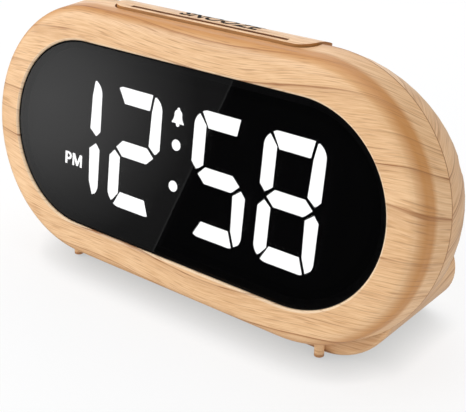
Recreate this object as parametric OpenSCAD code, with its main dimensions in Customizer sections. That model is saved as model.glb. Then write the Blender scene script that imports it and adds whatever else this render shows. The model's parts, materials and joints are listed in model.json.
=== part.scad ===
// Digital desk clock. A case of two shells, shaped like a running track, leans back on a low foot.
// A smoked lens covers a four-digit LED display. The snooze bar is on top, and the setting keys,
// the alarm switch, the dimmer wheel and the power inlet are on the back.

/* [Lens] */
// Width of the lens across its round ends
lens_w = 128.3; // [122:0.1:136]
// Height of the lens
lens_h = 54; // [52:0.5:57]
// Thickness of the lens
lens_t = 1.5; // [1:0.1:2]
// Width of the ledge that carries the lens
ledge_w = 2.2; // [1.6:0.1:2.6]
// Thickness of that ledge
ledge_t = 1.6; // [1.2:0.1:2.4]
// Thickness of the adhesive ring behind the lens
tape_t = 0.2; // [0.1:0.05:0.4]
// Bevel on the rim of the lens opening
rim_bevel = 0.4; // [0.1:0.05:0.6]

/* [Case] */
// Lean of the face from upright, in degrees
lean = 8; // [6:0.25:10]
// Height of the lens's centre above the table
face_h = 43.1; // [42:0.1:46]
// Width of the frame from the lens to the seam
frame_w = 11.3; // [10.8:0.1:12.5]
// How far the frame stands in front of the lens
bezel_proud = 0.7; // [0.3:0.1:1.2]
// Depth of the seam behind the lens's face
seam_d = 10.7; // [10:0.1:12]
// Outward slope of the front shell's side, in degrees
draft = 10.3; // [6:0.1:12]
// Radius of the frame's front edge
front_r = 4; // [3:0.1:5]
// Wall of both shells
wall = 2.2; // [1.8:0.1:2.6]
// Step from the front shell down to the rear shell
seam_step = 0.2; // [0:0.05:0.5]
// Length of the rear shell's lip inside the front shell
lip_len = 1.5; // [1:0.1:2.5]
// Thickness of that lip
lip_t = 1.2; // [1:0.1:1.6]
// Width and depth of the groove that marks the seam
seam_groove = 0.35; // [0.1:0.05:0.5]
// Radius of the pegs under the front shell
peg_r = 1.35; // [1:0.05:2]
// Distance of each peg from the middle
peg_x = 45.4; // [38:0.2:52]
// Height of the pegs' ends above the table
peg_up = 0.7; // [0.4:0.1:1.2]

/* [Rear cover] */
// Depth of the rear cover behind the seam
cover_d = 27; // [26:0.2:32]
// How much the cover's radius shrinks over its depth
cover_taper = 9.6; // [7:0.1:11]
// How late the taper comes in, where 1 is a cone
cover_power = 1.6; // [1.3:0.05:2.2]
// How far the back lies below the face's centre line
cover_droop = 2.65; // [1:0.05:4]
// Radius of the edge round the back
rear_r = 9; // [7:0.2:11]

/* [Foot] */
// Width of the foot at its widest
foot_w = 130; // [127:0.2:134]
// Radius of the foot's lower side edges
foot_r = 20.5; // [19:0.1:24]
// Distance of the foot's front face behind the seam
foot_in = 0.4; // [0.3:0.1:1.5]
// Radius of the edge round the foot's front face
foot_edge = 1.2; // [0.8:0.1:3]
// Distance of the foot's back behind the lens's centre, at the table
foot_back = 45.4; // [43:0.1:49]
// Forward slope of the foot's back, in degrees
foot_slope = 20.8; // [16:0.2:24]
// Radius of the rubber pads
pad_r = 4; // [3:0.1:5]
// Thickness of the pads
pad_t = 1.2; // [1:0.1:1.6]
// How far the pads stand out below the foot
pad_proud = 0.5; // [0.4:0.05:0.8]
// Distance of the pads inside the foot's front and back edges
pad_in = 2.8; // [2:0.1:4]

/* [Display] */
// Height of a digit
digit_h = 35; // [30:0.2:36]
// Width of a digit
digit_w = 18.8; // [16:0.1:19.4]
// Width of an upright stroke
stroke_v = 4.1; // [3:0.1:4.6]
// Height of a level stroke
stroke_h = 4.6; // [3.4:0.1:5]
// Gap between two strokes
stroke_gap = 0.8; // [0.5:0.05:1]
// Radius of a digit's corners
digit_r = 4.2; // [3:0.1:5]
// Distance from one digit to its neighbour in a pair
digit_pitch = 22.9; // [21.4:0.1:23.4]
// Distance between the middles of the two pairs
pair_pitch = 53.2; // [51.5:0.1:54]
// Radius of a colon dot
colon_r = 1.55; // [1:0.05:2]
// Distance between the colon dots
colon_pitch = 11.6; // [9:0.1:13]
// Width and height of the alarm window
bell_window = [5, 6]; // [3:0.1:6]
// Height of the alarm window above the middle
bell_up = 13.5; // [12:0.1:15]
// Width and height of the PM window
pm_window = [7.6, 4.4]; // [3:0.1:8]
// Distance of the PM window below the middle
pm_down = 8; // [7:0.1:8.6]
// Corner radius of both windows
window_r = 0.6; // [0.2:0.1:1]
// Sideways shift of the whole display
display_x = -2.6; // [-3:0.1:2]
// Upward shift of the whole display
display_y = -0.7; // [-1.5:0.1:1.5]
// Thickness of the reflector
reflector_t = 7.8; // [6:0.1:9]
// Thickness of the segments' diffusers
diffuser_t = 1.5; // [1:0.1:2.5]
// Rim of the reflector inside the ledge
reflector_rim = 1; // [0.6:0.1:1.6]

/* [Boards] */
// Thickness of both boards
board_t = 1.6; // [1.2:0.1:2]
// Space between the main board's ends and the case screws' bosses
board_end_gap = 2; // [1.2:0.1:2.6]
// Width and length of an LED
led = [2, 1.25]; // [1:0.05:2.4]
// Height of an LED
led_t = 0.8; // [0.5:0.1:1.2]
// Width and height of the driver chip
chip = [18, 7.5]; // [7:0.1:18]
// Thickness of the driver chip
chip_t = 2.3; // [1.5:0.1:2.6]
// Pins along one side of the chip
chip_pins = 14; // [8:1:14]
// Distance from pin to pin
chip_pitch = 1.27; // [0.8:0.01:1.27]
// Width, length and thickness of a pin
chip_pin = [0.4, 1.4, 0.3]; // [0.2:0.1:1.6]
// Place of the chip from the lens's centre
chip_at = [-22, -4]; // [-24:0.5:0]
// Radius of the crystal's can
crystal_r = 1; // [0.8:0.1:1.5]
// Length of the crystal's can
crystal_l = 6; // [5:0.2:8]
// Place of the crystal from the lens's centre
crystal_at = [-40, -4]; // [-42:0.5:0]
// Width, height and depth of a ribbon header
header = [14, 4, 3]; // [2:0.1:16]
// Place of the headers sideways
header_x = 12; // [9:0.5:16]
// Width of the ribbon cable
ribbon_w = 11; // [8:0.2:12]
// Thickness of the ribbon cable
ribbon_t = 0.4; // [0.3:0.05:0.6]
// Width and height of the key board
key_board = [104, 30]; // [28:0.5:106]
// Sideways place of the two lower key board screws
key_screw_x = 34; // [32:0.5:36]
// Heights of the lower and upper key board screws off the panel's middle
key_screw_y = [-10, 12.4]; // [-11:0.2:13]
// Space between the key board and the back panel
key_space = 8.8; // [8.4:0.1:9.6]

/* [Snooze bar] */
// Length of the bar
snooze_l = 67; // [60:0.5:72]
// Width of the bar from front to back
snooze_w = 14; // [12:0.2:15]
// Depth of the bar's front edge behind the lens's face
snooze_d = 5.2; // [5:0.1:6]
// Corner radius of the bar
snooze_corner = 4.5; // [3:0.1:6]
// Radius of the bar's crowned top
crown_r = 20; // [18:0.5:26]
// How far the crown stands above the seam
crown_proud = 0.4; // [0.2:0.1:0.8]
// Wall of the bar
snooze_wall = 1.6; // [1.2:0.1:2]
// Reach of the two tabs that keep the bar in the case
tab_l = 1.2; // [0.8:0.1:1.6]
// Thickness of the tabs
tab_t = 1.2; // [0.8:0.1:1.4]
// Width of the tabs
tab_w = 8; // [5:0.2:8.4]
// Distance of the tabs behind the bar's front edge
tab_in = 1.5; // [1:0.1:2]
// Depth and width of the groove along the bar's top
groove = [0.7, 1.2]; // [0.3:0.05:1.4]
// Distance of the groove behind the bar's front edge
groove_in = 1; // [0.8:0.1:3]
// Distance of the groove's ends inside the bar's ends
groove_end = 7; // [5:0.2:12]
// Distance of the crown's ridge behind the bar's front edge
crown_in = 5.5; // [5:0.1:7]
// Travel of the bar
snooze_travel = 1; // [0.6:0.1:1.2]

/* [Switches] */
// Width of a tact switch
tact_w = 6; // [5:0.1:6.4]
// Height of a tact switch
tact_h = 3.5; // [3:0.1:4]
// Radius of a tact switch's plunger
tact_pin_r = 1.75; // [1.2:0.05:2]
// How far a plunger stands out
tact_pin_out = 1; // [0.9:0.1:1.2]
// How far a plunger reaches in
tact_pin_in = 1; // [0.6:0.1:1.2]
// Radius of the snooze switch's plunger
snooze_pin_r = 1.2; // [0.8:0.05:1.5]
// Length of that plunger
snooze_pin_l = 2.2; // [2:0.1:2.6]
// Depth of the snooze switch
snooze_tact_d = 4; // [3.4:0.1:4.4]
// Height of the snooze switch
snooze_tact_h = 5.5; // [4.5:0.1:6]
// Radius of the post under the snooze bar
snooze_post_r = 2; // [1.6:0.1:2.4]
// Width, height and depth of the alarm switch
alarm_body = [10, 5, 5.2]; // [4.6:0.1:11]
// Width and height of the alarm lever
alarm_neck = [2.4, 2.4]; // [1.8:0.1:2.8]
// Width, height and depth of the lever's foot
alarm_foot = [4, 3.2, 1]; // [0.8:0.1:4.2]
// Ribs on the alarm lever's tip
alarm_ribs = 3; // [2:1:4]

/* [Back panel] */
// Height of the panel's middle above the back's own middle
panel_up = 7; // [6.5:0.1:8]
// Depth of the panel's recess
recess_d = 1.2; // [0.8:0.1:1.6]
// Radius of the recess's ends
recess_r = 15; // [14.5:0.1:15.4]
// Thickness of the panel
panel_t = 2.2; // [1.8:0.1:2.6]
// Radius of a key
key_r = 4; // [3:0.1:4.6]
// Distance from key to key
key_pitch = 16; // [14:0.2:17]
// Height of the keys above the panel's middle
key_up = 4.5; // [4:0.1:6]
// How far the keys stand out of the recess
key_proud = 0.8; // [0.5:0.1:1.1]
// Travel of a key
key_travel = 0.8; // [0.4:0.1:0.9]
// Place of the alarm switch from the panel's middle
alarm_at = [42, 4.5]; // [0:0.5:44]
// Travel of the alarm switch
alarm_travel = 4; // [3:0.2:5]
// Place of the dimmer wheel from the panel's middle
dimmer_at = [-44, 0]; // [-46:0.5:0]
// Radius of the dimmer wheel
wheel_r = 7.5; // [7:0.1:8.5]
// Thickness of the dimmer wheel
wheel_t = 3.2; // [2.4:0.1:3.6]
// Notches round the dimmer wheel
wheel_notches = 24; // [12:1:36]
// Radius of a notch
notch_r = 0.45; // [0.2:0.05:0.5]
// Radius of the dimmer's shaft
shaft_r = 1.5; // [1:0.1:2]
// Length of the shaft inside the potentiometer
shaft_l = 4; // [3:0.1:4.5]
// Width and height of the potentiometer
pot_size = [6, 9]; // [5:0.1:9]
// Place of the power inlet from the panel's middle
inlet_at = [0, -8]; // [-9:0.5:4]
// Outer width and height of the inlet's shell
inlet_size = [8.94, 3.26]; // [3:0.02:9]
// Wall of the inlet's shell
inlet_wall = 0.3; // [0.2:0.05:0.4]
// Width and thickness of the inlet's tongue
tongue = [6.7, 0.7]; // [0.5:0.1:7]
// How far the tongue's tip lies inside the mouth
tongue_in = 1; // [0.6:0.1:1.4]
// Height of the inlet's closed base
inlet_base = 4; // [3:0.1:5]
// Place of the buzzer from the panel's middle
buzzer_at = [-22, -7]; // [-24:0.5:0]
// Radius of the buzzer
buzzer_r = 6; // [4.5:0.1:6.2]
// Height of the buzzer
buzzer_t = 6.5; // [4:0.1:7.5]
// Radius of the buzzer's own hole
buzzer_hole_r = 1.2; // [0.8:0.1:1.6]
// Radius of a sound hole
sound_r = 0.7; // [0.5:0.05:0.9]
// Sound holes round the middle one
sound_count = 6; // [4:1:8]
// Depth of the dish in a key's tip
dish = 0.35; // [0.1:0.05:0.5]
// Width and thickness of the rim that keeps a key in the case
key_rim = [1, 1]; // [0.8:0.1:1.2]

/* [Fasteners] */
// Radius of the case screws' heads
case_head_r = 2.5; // [2.2:0.1:2.8]
// Radius of the case screws
case_screw_r = 1.2; // [1:0.05:1.4]
// Length of the case screws
case_screw_l = 10; // [8:0.5:11]
// Radius of the bosses that take them
case_boss_r = 3; // [2.4:0.1:3.2]
// Depth of the bosses' ends behind the seam
case_boss_d = 3.3; // [2.5:0.1:4]
// Wall of the tubes that the heads sit in
tube_wall = 1.2; // [1:0.1:1.6]
// Floor of those tubes
tube_floor = 2; // [1.5:0.1:2.5]
// Distance of the case screws outside the lens
case_screw_out = 1.85; // [1.5:0.05:2]
// Heights of the lower and upper case screws off the middle
case_screw_y = [-5, 12]; // [-6:0.5:13]
// Radius of the board screws' heads
board_head_r = 2.2; // [1.8:0.1:2.4]
// Radius of the board screws
board_screw_r = 0.9; // [0.7:0.05:1]
// Length of the board screws
board_screw_l = 5; // [4:0.2:6]
// Radius of the bosses and posts that take them
board_boss_r = 2.5; // [2:0.1:2.6]
// Thickness of all screw heads
head_t = 1.6; // [1.2:0.1:1.8]

/* [Cell] */
// Radius of the coin cell
cell_r = 10; // [9.5:0.1:10.2]
// Thickness of the coin cell
cell_t = 3.2; // [2:0.1:3.2]
// Width of the step round the cell's lower face
cell_step = 1; // [0.6:0.1:1.4]
// Height of that step
cell_rim = 0.4; // [0.2:0.1:0.6]
// Distance of the cell behind the lens's centre
cell_y = 25.5; // [24:0.2:27]
// Width and depth of the cell's door
door_size = [36, 24.6]; // [24:0.2:40]
// Thickness of the door
door_t = 1.6; // [1.2:0.1:2]
// Corner radius of the door
door_corner = 3; // [2:0.1:4]
// Distance of the door's screw from the door's edge
door_screw_in = 3.6; // [3.2:0.1:4.5]
// Wall and roof of the cell's well
well_wall = 1.5; // [1.2:0.1:2]
// Height of the spring contacts above the cell
contact_h = 1.6; // [1.2:0.1:2]
// Width and length of a contact's leaf
leaf = [4, 14]; // [3:0.2:15]
// Thickness of a contact
contact_t = 0.4; // [0.2:0.05:0.5]
// Radius of a cell lead
lead_r = 0.6; // [0.4:0.05:0.7]
// Length of a lead along the well's roof
lead_run = 9; // [7:0.5:11]

/* [Clearances] */
// Gap round the lens in its rebate
lens_gap = 0.15; // [0.05:0.05:0.3]
// Gap round the snooze bar
snooze_gap = 0.5; // [0.3:0.05:0.6]
// Gap round a key
key_gap = 0.2; // [0.1:0.05:0.4]
// Gap round moving pins and levers
pin_gap = 0.1; // [0.05:0.05:0.2]
// Gap between parts that only lie side by side
part_gap = 0.3; // [0.2:0.05:0.5]

/* [Hidden] */
$fn = 64;
// Steps round one end of the rear cover and of the foot, along the cover's side and round its back
// edge, and round the foot's front edge
arc_steps = 30;
cover_steps = 10;
tail_steps = 7;
edge_steps = 5;
// Room that cuts reach past the surface they open
past = 1;
far = 200;

// Stadium outline: two round ends whose centres lie this far from the middle
spine = (lens_w - lens_h) / 2;
lens_r = lens_h / 2;
rebate_z = -(lens_t + tape_t);
ledge_r = lens_r - ledge_w;
seam_r = lens_r + frame_w;

// Front shell: centre of the arc that rounds its front edge
edge_z = bezel_proud - front_r;
edge_c = seam_r - (edge_z + seam_d) * tan(draft) - front_r / cos(draft);
collar_r = lens_r + lens_gap + wall;

// Rear cover: where its side runs into the arc round the back
cover_r0 = seam_r - seam_step;
tail_slope = cover_slope(cover_d - rear_r / 2);
tail_w = cover_d - rear_r * (1 - sin(tail_slope));
tail_r = cover_radius(tail_w) - rear_r * cos(tail_slope);

// Lens centre on the table's frame, with the origin under the middle of the clock
case_front = -edge_c * sin(lean) - edge_z * cos(lean) - front_r;
face_y = -(case_front + foot_back - pad_proud * tan(foot_slope)) / 2;

// Lip of the rear shell inside the front shell
lip_r = seam_r - lip_len * tan(draft) - wall / cos(draft) - lens_gap;

// Case screws, outside the lens's round ends
case_screw_x = spine + lens_r + case_screw_out;
case_boss_z = -seam_d - case_boss_d;
tube_z = case_boss_z - tube_floor;

// Display stack behind the lens
reflector_z = rebate_z - pin_gap;
reflector_r = ledge_r - reflector_rim;
board_z = reflector_z - reflector_t;
board_back = board_z - board_t;
board_screw_c = reflector_r + 2 * part_gap + board_boss_r;
board_r = board_screw_c + board_boss_r + 2 * part_gap;
board_half = case_screw_x - case_boss_r - board_end_gap;
digit_x = [for (pair = [-1, 1], half = [-1, 1]) display_x + pair * pair_pitch / 2 + half * digit_pitch / 2];
pm_x = digit_x[0] - stroke_v / 4;

// Segments a to g in each digit of 12:58, 1 for lit
shown = [[0, 1, 1, 0, 0, 0, 0], [1, 1, 0, 1, 1, 0, 1], [1, 0, 1, 1, 0, 1, 1], [1, 1, 1, 1, 1, 1, 1]];

// Back panel, drawn from its own middle
panel_y = panel_up - cover_droop;
panel_z = -seam_d - cover_d;
floor_z = panel_z + recess_d;
inner_z = floor_z + panel_t;
key_board_z = inner_z + key_space;
key_x = [for (i = [-1.5:1:1.5]) i * key_pitch];
key_screws_at = [[-key_screw_x, key_screw_y[0]], [key_screw_x, key_screw_y[0]], [0, key_screw_y[1]]];
key_tip_z = floor_z - key_proud;
tact_z = key_board_z - tact_h;

// Snooze bar and its switch
snooze_back = snooze_d + snooze_w;
crown_y = seam_r + crown_proud - crown_r;
crown_d = snooze_d + crown_in;
tab_y = lip_r - lip_t - pin_gap - tab_t;
snooze_pin_d = -board_back + snooze_tact_d / 2;
snooze_tact_y = board_r + part_gap;
snooze_pin_y = snooze_tact_y + tact_pin_out;

// Dimmer wheel: its middle, and half the length of its slot
wheel_z = key_tip_z + wheel_r;
slot_half = sqrt(wheel_r * wheel_r - (wheel_z - inner_z) * (wheel_z - inner_z)) + part_gap;

// Ribbon between the boards, with the headers at the key board's lower edge
ribbon_y = panel_y - key_board.y / 2 + part_gap;
ribbon_z = [key_board_z + board_t + header.z / 2, board_back - header.z / 2];
ribbon_bend = (ribbon_z[1] - ribbon_z[0]) / 2;

// Cell well in the foot, above the door
well_z = pad_proud + door_t;
well_top = well_z + cell_t + contact_h;
roof_z = well_top + well_wall;
door_screw_x = door_size.x / 2 - door_screw_in;
cell_x = -door_size.x / 2 + cell_r + well_wall + part_gap;

// Leads: from the well's roof up to the lower edge of the main board, as distance back and height
lead_from = [cell_y - lead_run, roof_z + lead_r];
lead_end = [lead_r - board_back, board_screw_c * sin(45)];
lead_to = [
    lead_end.x * cos(lean) - lead_end.y * sin(lean),
    face_h - lead_end.x * sin(lean) - lead_end.y * cos(lean)
];
lead_l = norm(lead_to - lead_from);
lead_tilt = atan2(lead_from.x - lead_to.x, lead_to.y - lead_from.y);

wood = [0.86, 0.67, 0.45];
black = [0.05, 0.05, 0.055];
green = [0.08, 0.30, 0.18];
steel = [0.72, 0.72, 0.70];
white = [0.95, 0.95, 0.93];

// Rear cover's radius and inward slope at depth w behind the seam
function cover_radius(w) = cover_r0 - cover_taper * pow(w / cover_d, cover_power);
function cover_slope(w) = atan(cover_taper * cover_power / cover_d * pow(w / cover_d, cover_power - 1));

// Depth and radius of each section of the cover from depth start on, moved inward by inset
function cover_sections(inset, start = 0) = concat(
    [for (i = [0:cover_steps])
        let (w = start + (tail_w - start) * i / cover_steps, a = cover_slope(w))
        [w - inset * sin(a), cover_radius(w) - inset * cos(a)]],
    [for (i = [1:tail_steps])
        let (a = tail_slope + (90 - tail_slope) * i / tail_steps)
        [cover_d - rear_r + (rear_r - inset) * sin(a), tail_r + (rear_r - inset) * cos(a)]]
);

// Points of a stadium of radius r that has sunk by the cover's droop at depth w
function cover_ring(w, r) = [
    for (side = [1, -1], i = [0:arc_steps])
        let (a = 180 * i / arc_steps - 90 * side)
        [side * spine + r * cos(a), r * sin(a) - cover_droop * w / cover_d, -seam_d - w]
];

// Distance back, at height z, of a plane that lies d behind the foot's front face
function foot_front(z, d) = (seam_d + foot_in + d + (z - face_h) * sin(lean)) / cos(lean);

// Points of the foot's outline, moved inward by inset, d behind its front face
function foot_ring(inset, d) = [
    for (side = [1, -1], i = [0:arc_steps])
        let (
            a = 180 * i / arc_steps - 90 * side, r = foot_r - inset,
            z = pad_proud + foot_r + r * sin(a)
        )
        [side * (foot_w / 2 - foot_r) + r * cos(a), foot_front(z, d), z]
];

// The foot from its rounded front edge to behind its back
function foot_rings(inset, edge) = concat(
    [for (i = [0:edge_steps])
        let (a = 90 * i / edge_steps)
        foot_ring(inset + edge * (1 - sin(a)), inset + edge * (1 - cos(a)))],
    [foot_ring(inset, foot_back)]
);

// Frames: the face leans back about the lens's centre, and the panel lies in the face's frame
module on_face() {
    translate([0, face_y, face_h]) rotate([90 - lean, 0, 0]) children();
}

module on_panel(at = [0, 0]) {
    on_face() translate([at.x, panel_y + at.y, 0]) children();
}

module on_table() {
    translate([0, face_y, 0]) children();
}

// Outlines
module stadium(r) {
    square([2 * spine, 2 * r], center = true);
    for (side = [-1, 1])
        translate([side * spine, 0]) circle(r);
}

module corner_rect(low, high, r) {
    at = [low, [high.x, low.y], high, [low.x, high.y]];
    inward = [[1, 1], [-1, 1], [-1, -1], [1, -1]];
    polygon([
        at[0] + [0, r[0]], at[0] + [r[0], 0], at[1] - [r[1], 0], at[1] + [0, r[1]],
        at[2] - [0, r[2]], at[2] - [r[2], 0], at[3] + [r[3], 0], at[3] - [0, r[3]]
    ]);
    for (i = [0:3])
        translate(at[i] + r[i] * inward[i]) circle(r[i]);
}

module round_rect(size, r) {
    corner_rect(-size / 2, size / 2, [r, r, r, r]);
}

// Solids
module layer(z0, z1) {
    translate([0, 0, min(z0, z1)]) linear_extrude(abs(z1 - z0)) children();
}

module rod(r, z0, z1) {
    translate([0, 0, min(z0, z1)]) cylinder(r = r, h = abs(z1 - z0));
}

module along_up(y0, y1) {
    translate([0, y0, 0]) rotate([-90, 0, 0]) linear_extrude(y1 - y0) children();
}

// Half profile, as distance from the spine against height, carried round the stadium
module stadium_sweep() {
    for (side = [-1, 1])
        translate([side * spine, 0, 0]) rotate(-90 * side) rotate_extrude(angle = 180) children();
    translate([-spine, 0, 0]) rotate([90, 0, 90]) linear_extrude(2 * spine) {
        children();
        mirror([1, 0]) children();
    }
}

// Solid through rings that have the same number of points, from front to back
module loft(rings) {
    count = len(rings[0]);
    last = (len(rings) - 1) * count;
    polyhedron(
        points = [for (ring = rings) each ring],
        faces = concat(
            [[for (i = [count - 1:-1:0]) i]],
            [for (k = [0:len(rings) - 2], i = [0:count - 1])
                [k * count + i, k * count + (i + 1) % count, (k + 1) * count + (i + 1) % count]],
            [for (k = [0:len(rings) - 2], i = [0:count - 1])
                [k * count + i, (k + 1) * count + (i + 1) % count, (k + 1) * count + i]],
            [[for (i = [0:count - 1]) last + i]]
        )
    );
}

// Front shell
module front_profile(inset, below = 0) {
    side = seam_r - inset / cos(draft);
    fillet = front_r - inset;
    polygon([
        [0, -seam_d - below], [side + below * tan(draft), -seam_d - below],
        [edge_c + fillet * cos(draft), edge_z + fillet * sin(draft)],
        [edge_c, bezel_proud - inset], [0, bezel_proud - inset]
    ]);
    translate([edge_c, edge_z]) circle(fillet);
}

module lens_rebate() {
    rim_r = lens_r + lens_gap;
    stadium_sweep() polygon([
        [0, rebate_z], [rim_r, rebate_z], [rim_r, bezel_proud - rim_bevel],
        [rim_r + rim_bevel, bezel_proud], [rim_r + rim_bevel, bezel_proud + past], [0, bezel_proud + past]
    ]);
}

module snooze_opening() {
    along_up(board_r, seam_r + far) snooze_plan(snooze_gap);
}

module at_board_screws() {
    for (sx = [-1, 1], sy = [-1, 1])
        translate([sx * (spine + board_screw_c * cos(45)), sy * board_screw_c * sin(45), 0]) children();
}

module at_case_screws() {
    for (side = [-1, 1], y = case_screw_y)
        translate([side * case_screw_x, y, 0]) children();
}

module pegs() {
    peg_top = face_h - seam_r + wall / 2;
    peg_y = foot_front(peg_up, 0) - part_gap - peg_r;
    for (side = [-1, 1])
        on_table() translate([side * peg_x, peg_y, 0]) rod(peg_r, peg_up, peg_top);
}

module front_shell() {
    color(wood) {
        on_face() difference() {
            union() {
                difference() {
                    stadium_sweep() front_profile(0);
                    stadium_sweep() front_profile(wall, past);
                }
                layer(rebate_z - ledge_t, bezel_proud - wall) stadium(collar_r);
                at_board_screws() rod(board_boss_r, board_z, bezel_proud - wall);
                at_case_screws() rod(case_boss_r, case_boss_z, bezel_proud - wall);
            }
            lens_rebate();
            layer(rebate_z - ledge_t - past, bezel_proud + past) stadium(ledge_r);
            at_board_screws() rod(board_screw_r, board_z - past, board_back + board_screw_l + past);
            at_case_screws() rod(case_screw_r, case_boss_z - past, tube_z + case_screw_l + past);
            snooze_opening();
        }
        pegs();
    }
}

// Rear shell
module cover_block(sections) {
    on_face() loft([for (s = sections) cover_ring(s[0], s[1])]);
}

module foot_block(inset, edge) {
    intersection() {
        on_table() loft(foot_rings(inset, edge));
        on_table() translate([0, foot_back - inset / cos(foot_slope), 0]) rotate([foot_slope, 0, 0])
            translate([-far / 2, -far, -far / 2]) cube(far);
    }
}

module lip() {
    root_r = seam_r - wall / 2;
    stadium_sweep() polygon([
        [lip_r - lip_t, -seam_d + lip_len], [lip_r, -seam_d + lip_len], [lip_r, -seam_d],
        [root_r, -seam_d], [root_r, -seam_d - wall], [lip_r - lip_t, -seam_d - 2 * wall]
    ]);
}

module cell_well() {
    on_table() translate([0, cell_y, 0]) layer(pad_proud, roof_z)
        round_rect(door_size + 2 * well_wall * [1, 1], door_corner + well_wall);
}

module cell_cuts() {
    on_table() translate([0, cell_y, 0]) {
        layer(pad_proud - past, well_z) round_rect(door_size + 2 * key_gap * [1, 1], door_corner + key_gap);
        translate([cell_x, 0, 0]) rod(cell_r + part_gap, well_z - past, well_top);
        translate([door_screw_x, 0, 0]) rod(board_screw_r, well_z - past, well_z + board_screw_l);
    }
}

module panel_cuts() {
    on_panel() layer(panel_z - past, floor_z) stadium(recess_r);
    for (x = key_x)
        on_panel([x, key_up]) rod(key_r + key_gap, panel_z, inner_z + past);
    on_panel(alarm_at) layer(panel_z, inner_z + past)
        square([alarm_travel, 0] + alarm_neck + 2 * key_gap * [1, 1], center = true);
    on_panel(dimmer_at) layer(panel_z, inner_z + past)
        square([wheel_t + 2 * part_gap, 2 * slot_half], center = true);
    on_panel(inlet_at) layer(panel_z, inner_z + past) inlet_outline(key_gap);
    on_panel(buzzer_at) layer(panel_z, inner_z + past) {
        circle(sound_r);
        for (i = [1:sound_count])
            rotate(360 * i / sound_count) translate([buzzer_r / 2, 0]) circle(sound_r);
    }
    for (at = key_screws_at)
        on_panel(at) rod(board_screw_r, key_board_z + past, key_board_z - board_screw_l);
}

module rear_shell() {
    well_r = case_head_r + key_gap;
    color(wood) {
        difference() {
            union() {
                cover_block(concat([[0, cover_r0 - seam_groove]], cover_sections(0, seam_groove)));
                foot_block(0, foot_edge);
            }
            difference() {
                union() {
                    cover_block(concat([[-past, cover_r0 - wall]], cover_sections(wall)));
                    foot_block(wall, foot_edge / 2);
                }
                on_face() at_case_screws() rod(well_r + tube_wall, case_boss_z, panel_z);
                on_panel() layer(panel_z, inner_z) stadium(recess_r + panel_t);
                for (at = key_screws_at)
                    on_panel(at) rod(board_boss_r, panel_z, key_board_z);
                cell_well();
            }
            on_face() at_case_screws() {
                rod(well_r, tube_z, panel_z - past);
                rod(case_screw_r + key_gap, case_boss_z + past, tube_z - past);
            }
            on_face() snooze_opening();
            panel_cuts();
            cell_cuts();
            at_pads() rod(pad_r, 0, pad_t);
        }
        on_face() difference() {
            lip();
            snooze_opening();
        }
    }
}

// Lens and display
module display_lens() {
    color(black) on_face() layer(-lens_t, 0) stadium(lens_r);
}

module lens_tape() {
    color(black) on_face() layer(rebate_z, -lens_t) difference() {
        stadium(lens_r);
        stadium(ledge_r);
    }
}

// Segments a to g: polygons in a digit's own frame, trimmed by its rounded outline
function segment_points(i) =
    let (
        w = digit_w / 2, h = digit_h / 2, e = stroke_gap / 2, q = stroke_gap * 0.7,
        xi = w - stroke_v, yi = h - stroke_h, m = stroke_h / 2,
        corner = 0.3 * stroke_v, top = 0.2 * stroke_v, bottom = 0.4 * stroke_v,
        tip_x = w - 0.42 * stroke_v, tip_y = 2 * e, side = m + e, inner = m + e
    )
    [
        [[-w + corner + q, h], [xi + top - e, h], [xi - e, yi], [-xi + q, yi]],
        [[xi + top + e, h], [w, h], [w, side], [tip_x, tip_y], [xi, inner], [xi + e, yi]],
        [[xi + bottom + e, -h], [w, -h], [w, -side], [tip_x, -tip_y], [xi, -inner], [xi + e, -yi]],
        [[-w + corner + q, -h], [xi + bottom - e, -h], [xi - e, -yi], [-xi + q, -yi]],
        [[-w + corner - q, -h], [-w, -h], [-w, -side], [-tip_x, -tip_y], [-xi, -inner], [-xi, -yi - q]],
        [[-w + corner - q, h], [-w, h], [-w, side], [-tip_x, tip_y], [-xi, inner], [-xi, yi + q]],
        [[-tip_x + e, 0], [-xi + q, m], [xi - q, m], [tip_x - e, 0], [xi - q, -m], [-xi + q, -m]]
    ][i];

module segment(i) {
    intersection() {
        polygon(segment_points(i));
        round_rect([digit_w, digit_h], digit_r);
    }
}

module segments(state) {
    for (d = [0:3], i = [0:6])
        if (shown[d][i] == state)
            translate([digit_x[d], display_y]) segment(i);
}

module colon() {
    for (side = [-1, 1])
        translate([display_x, display_y + side * colon_pitch / 2]) circle(colon_r);
}

module windows() {
    translate([display_x, display_y + bell_up]) round_rect(bell_window, window_r);
    translate([pm_x, display_y - pm_down]) round_rect(pm_window, window_r);
}

module led_reflector() {
    color(black) on_face() difference() {
        layer(board_z, reflector_z) stadium(reflector_r);
        layer(board_z - past, reflector_z + past) {
            segments(0);
            segments(1);
            colon();
            windows();
        }
    }
}

module diffuser() {
    on_face() layer(reflector_z - diffuser_t, reflector_z) children();
}

module lit_segments() {
    color(white) diffuser() segments(1);
}

module unlit_segments() {
    color(black) diffuser() segments(0);
}

module colon_dots() {
    color(white) diffuser() colon();
}

module indicator_windows() {
    color(white) diffuser() windows();
}

// Main board
module display_pcb() {
    color(green) on_face() layer(board_back, board_z) difference() {
        intersection() {
            stadium(board_r);
            square([2 * board_half, far], center = true);
        }
        at_board_screws() circle(board_screw_r + pin_gap);
    }
}

// Middle of each segment, where its LED sits
function segment_middle(i) =
    let (x = (digit_w - stroke_v) / 2, y = (digit_h - stroke_h) / 2)
    [[0, y], [x, y / 2], [x, -y / 2], [0, -y], [-x, -y / 2], [-x, y / 2], [0, 0]][i];

module segment_leds() {
    color(white) on_face() layer(board_z, board_z + led_t) {
        for (x = digit_x, i = [0:6])
            translate([x, display_y] + segment_middle(i)) square(led, center = true);
        for (side = [-1, 1])
            translate([display_x, display_y + side * colon_pitch / 2]) square(led, center = true);
        translate([display_x, display_y + bell_up]) square(led, center = true);
        translate([pm_x, display_y - pm_down]) square(led, center = true);
    }
}

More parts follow.
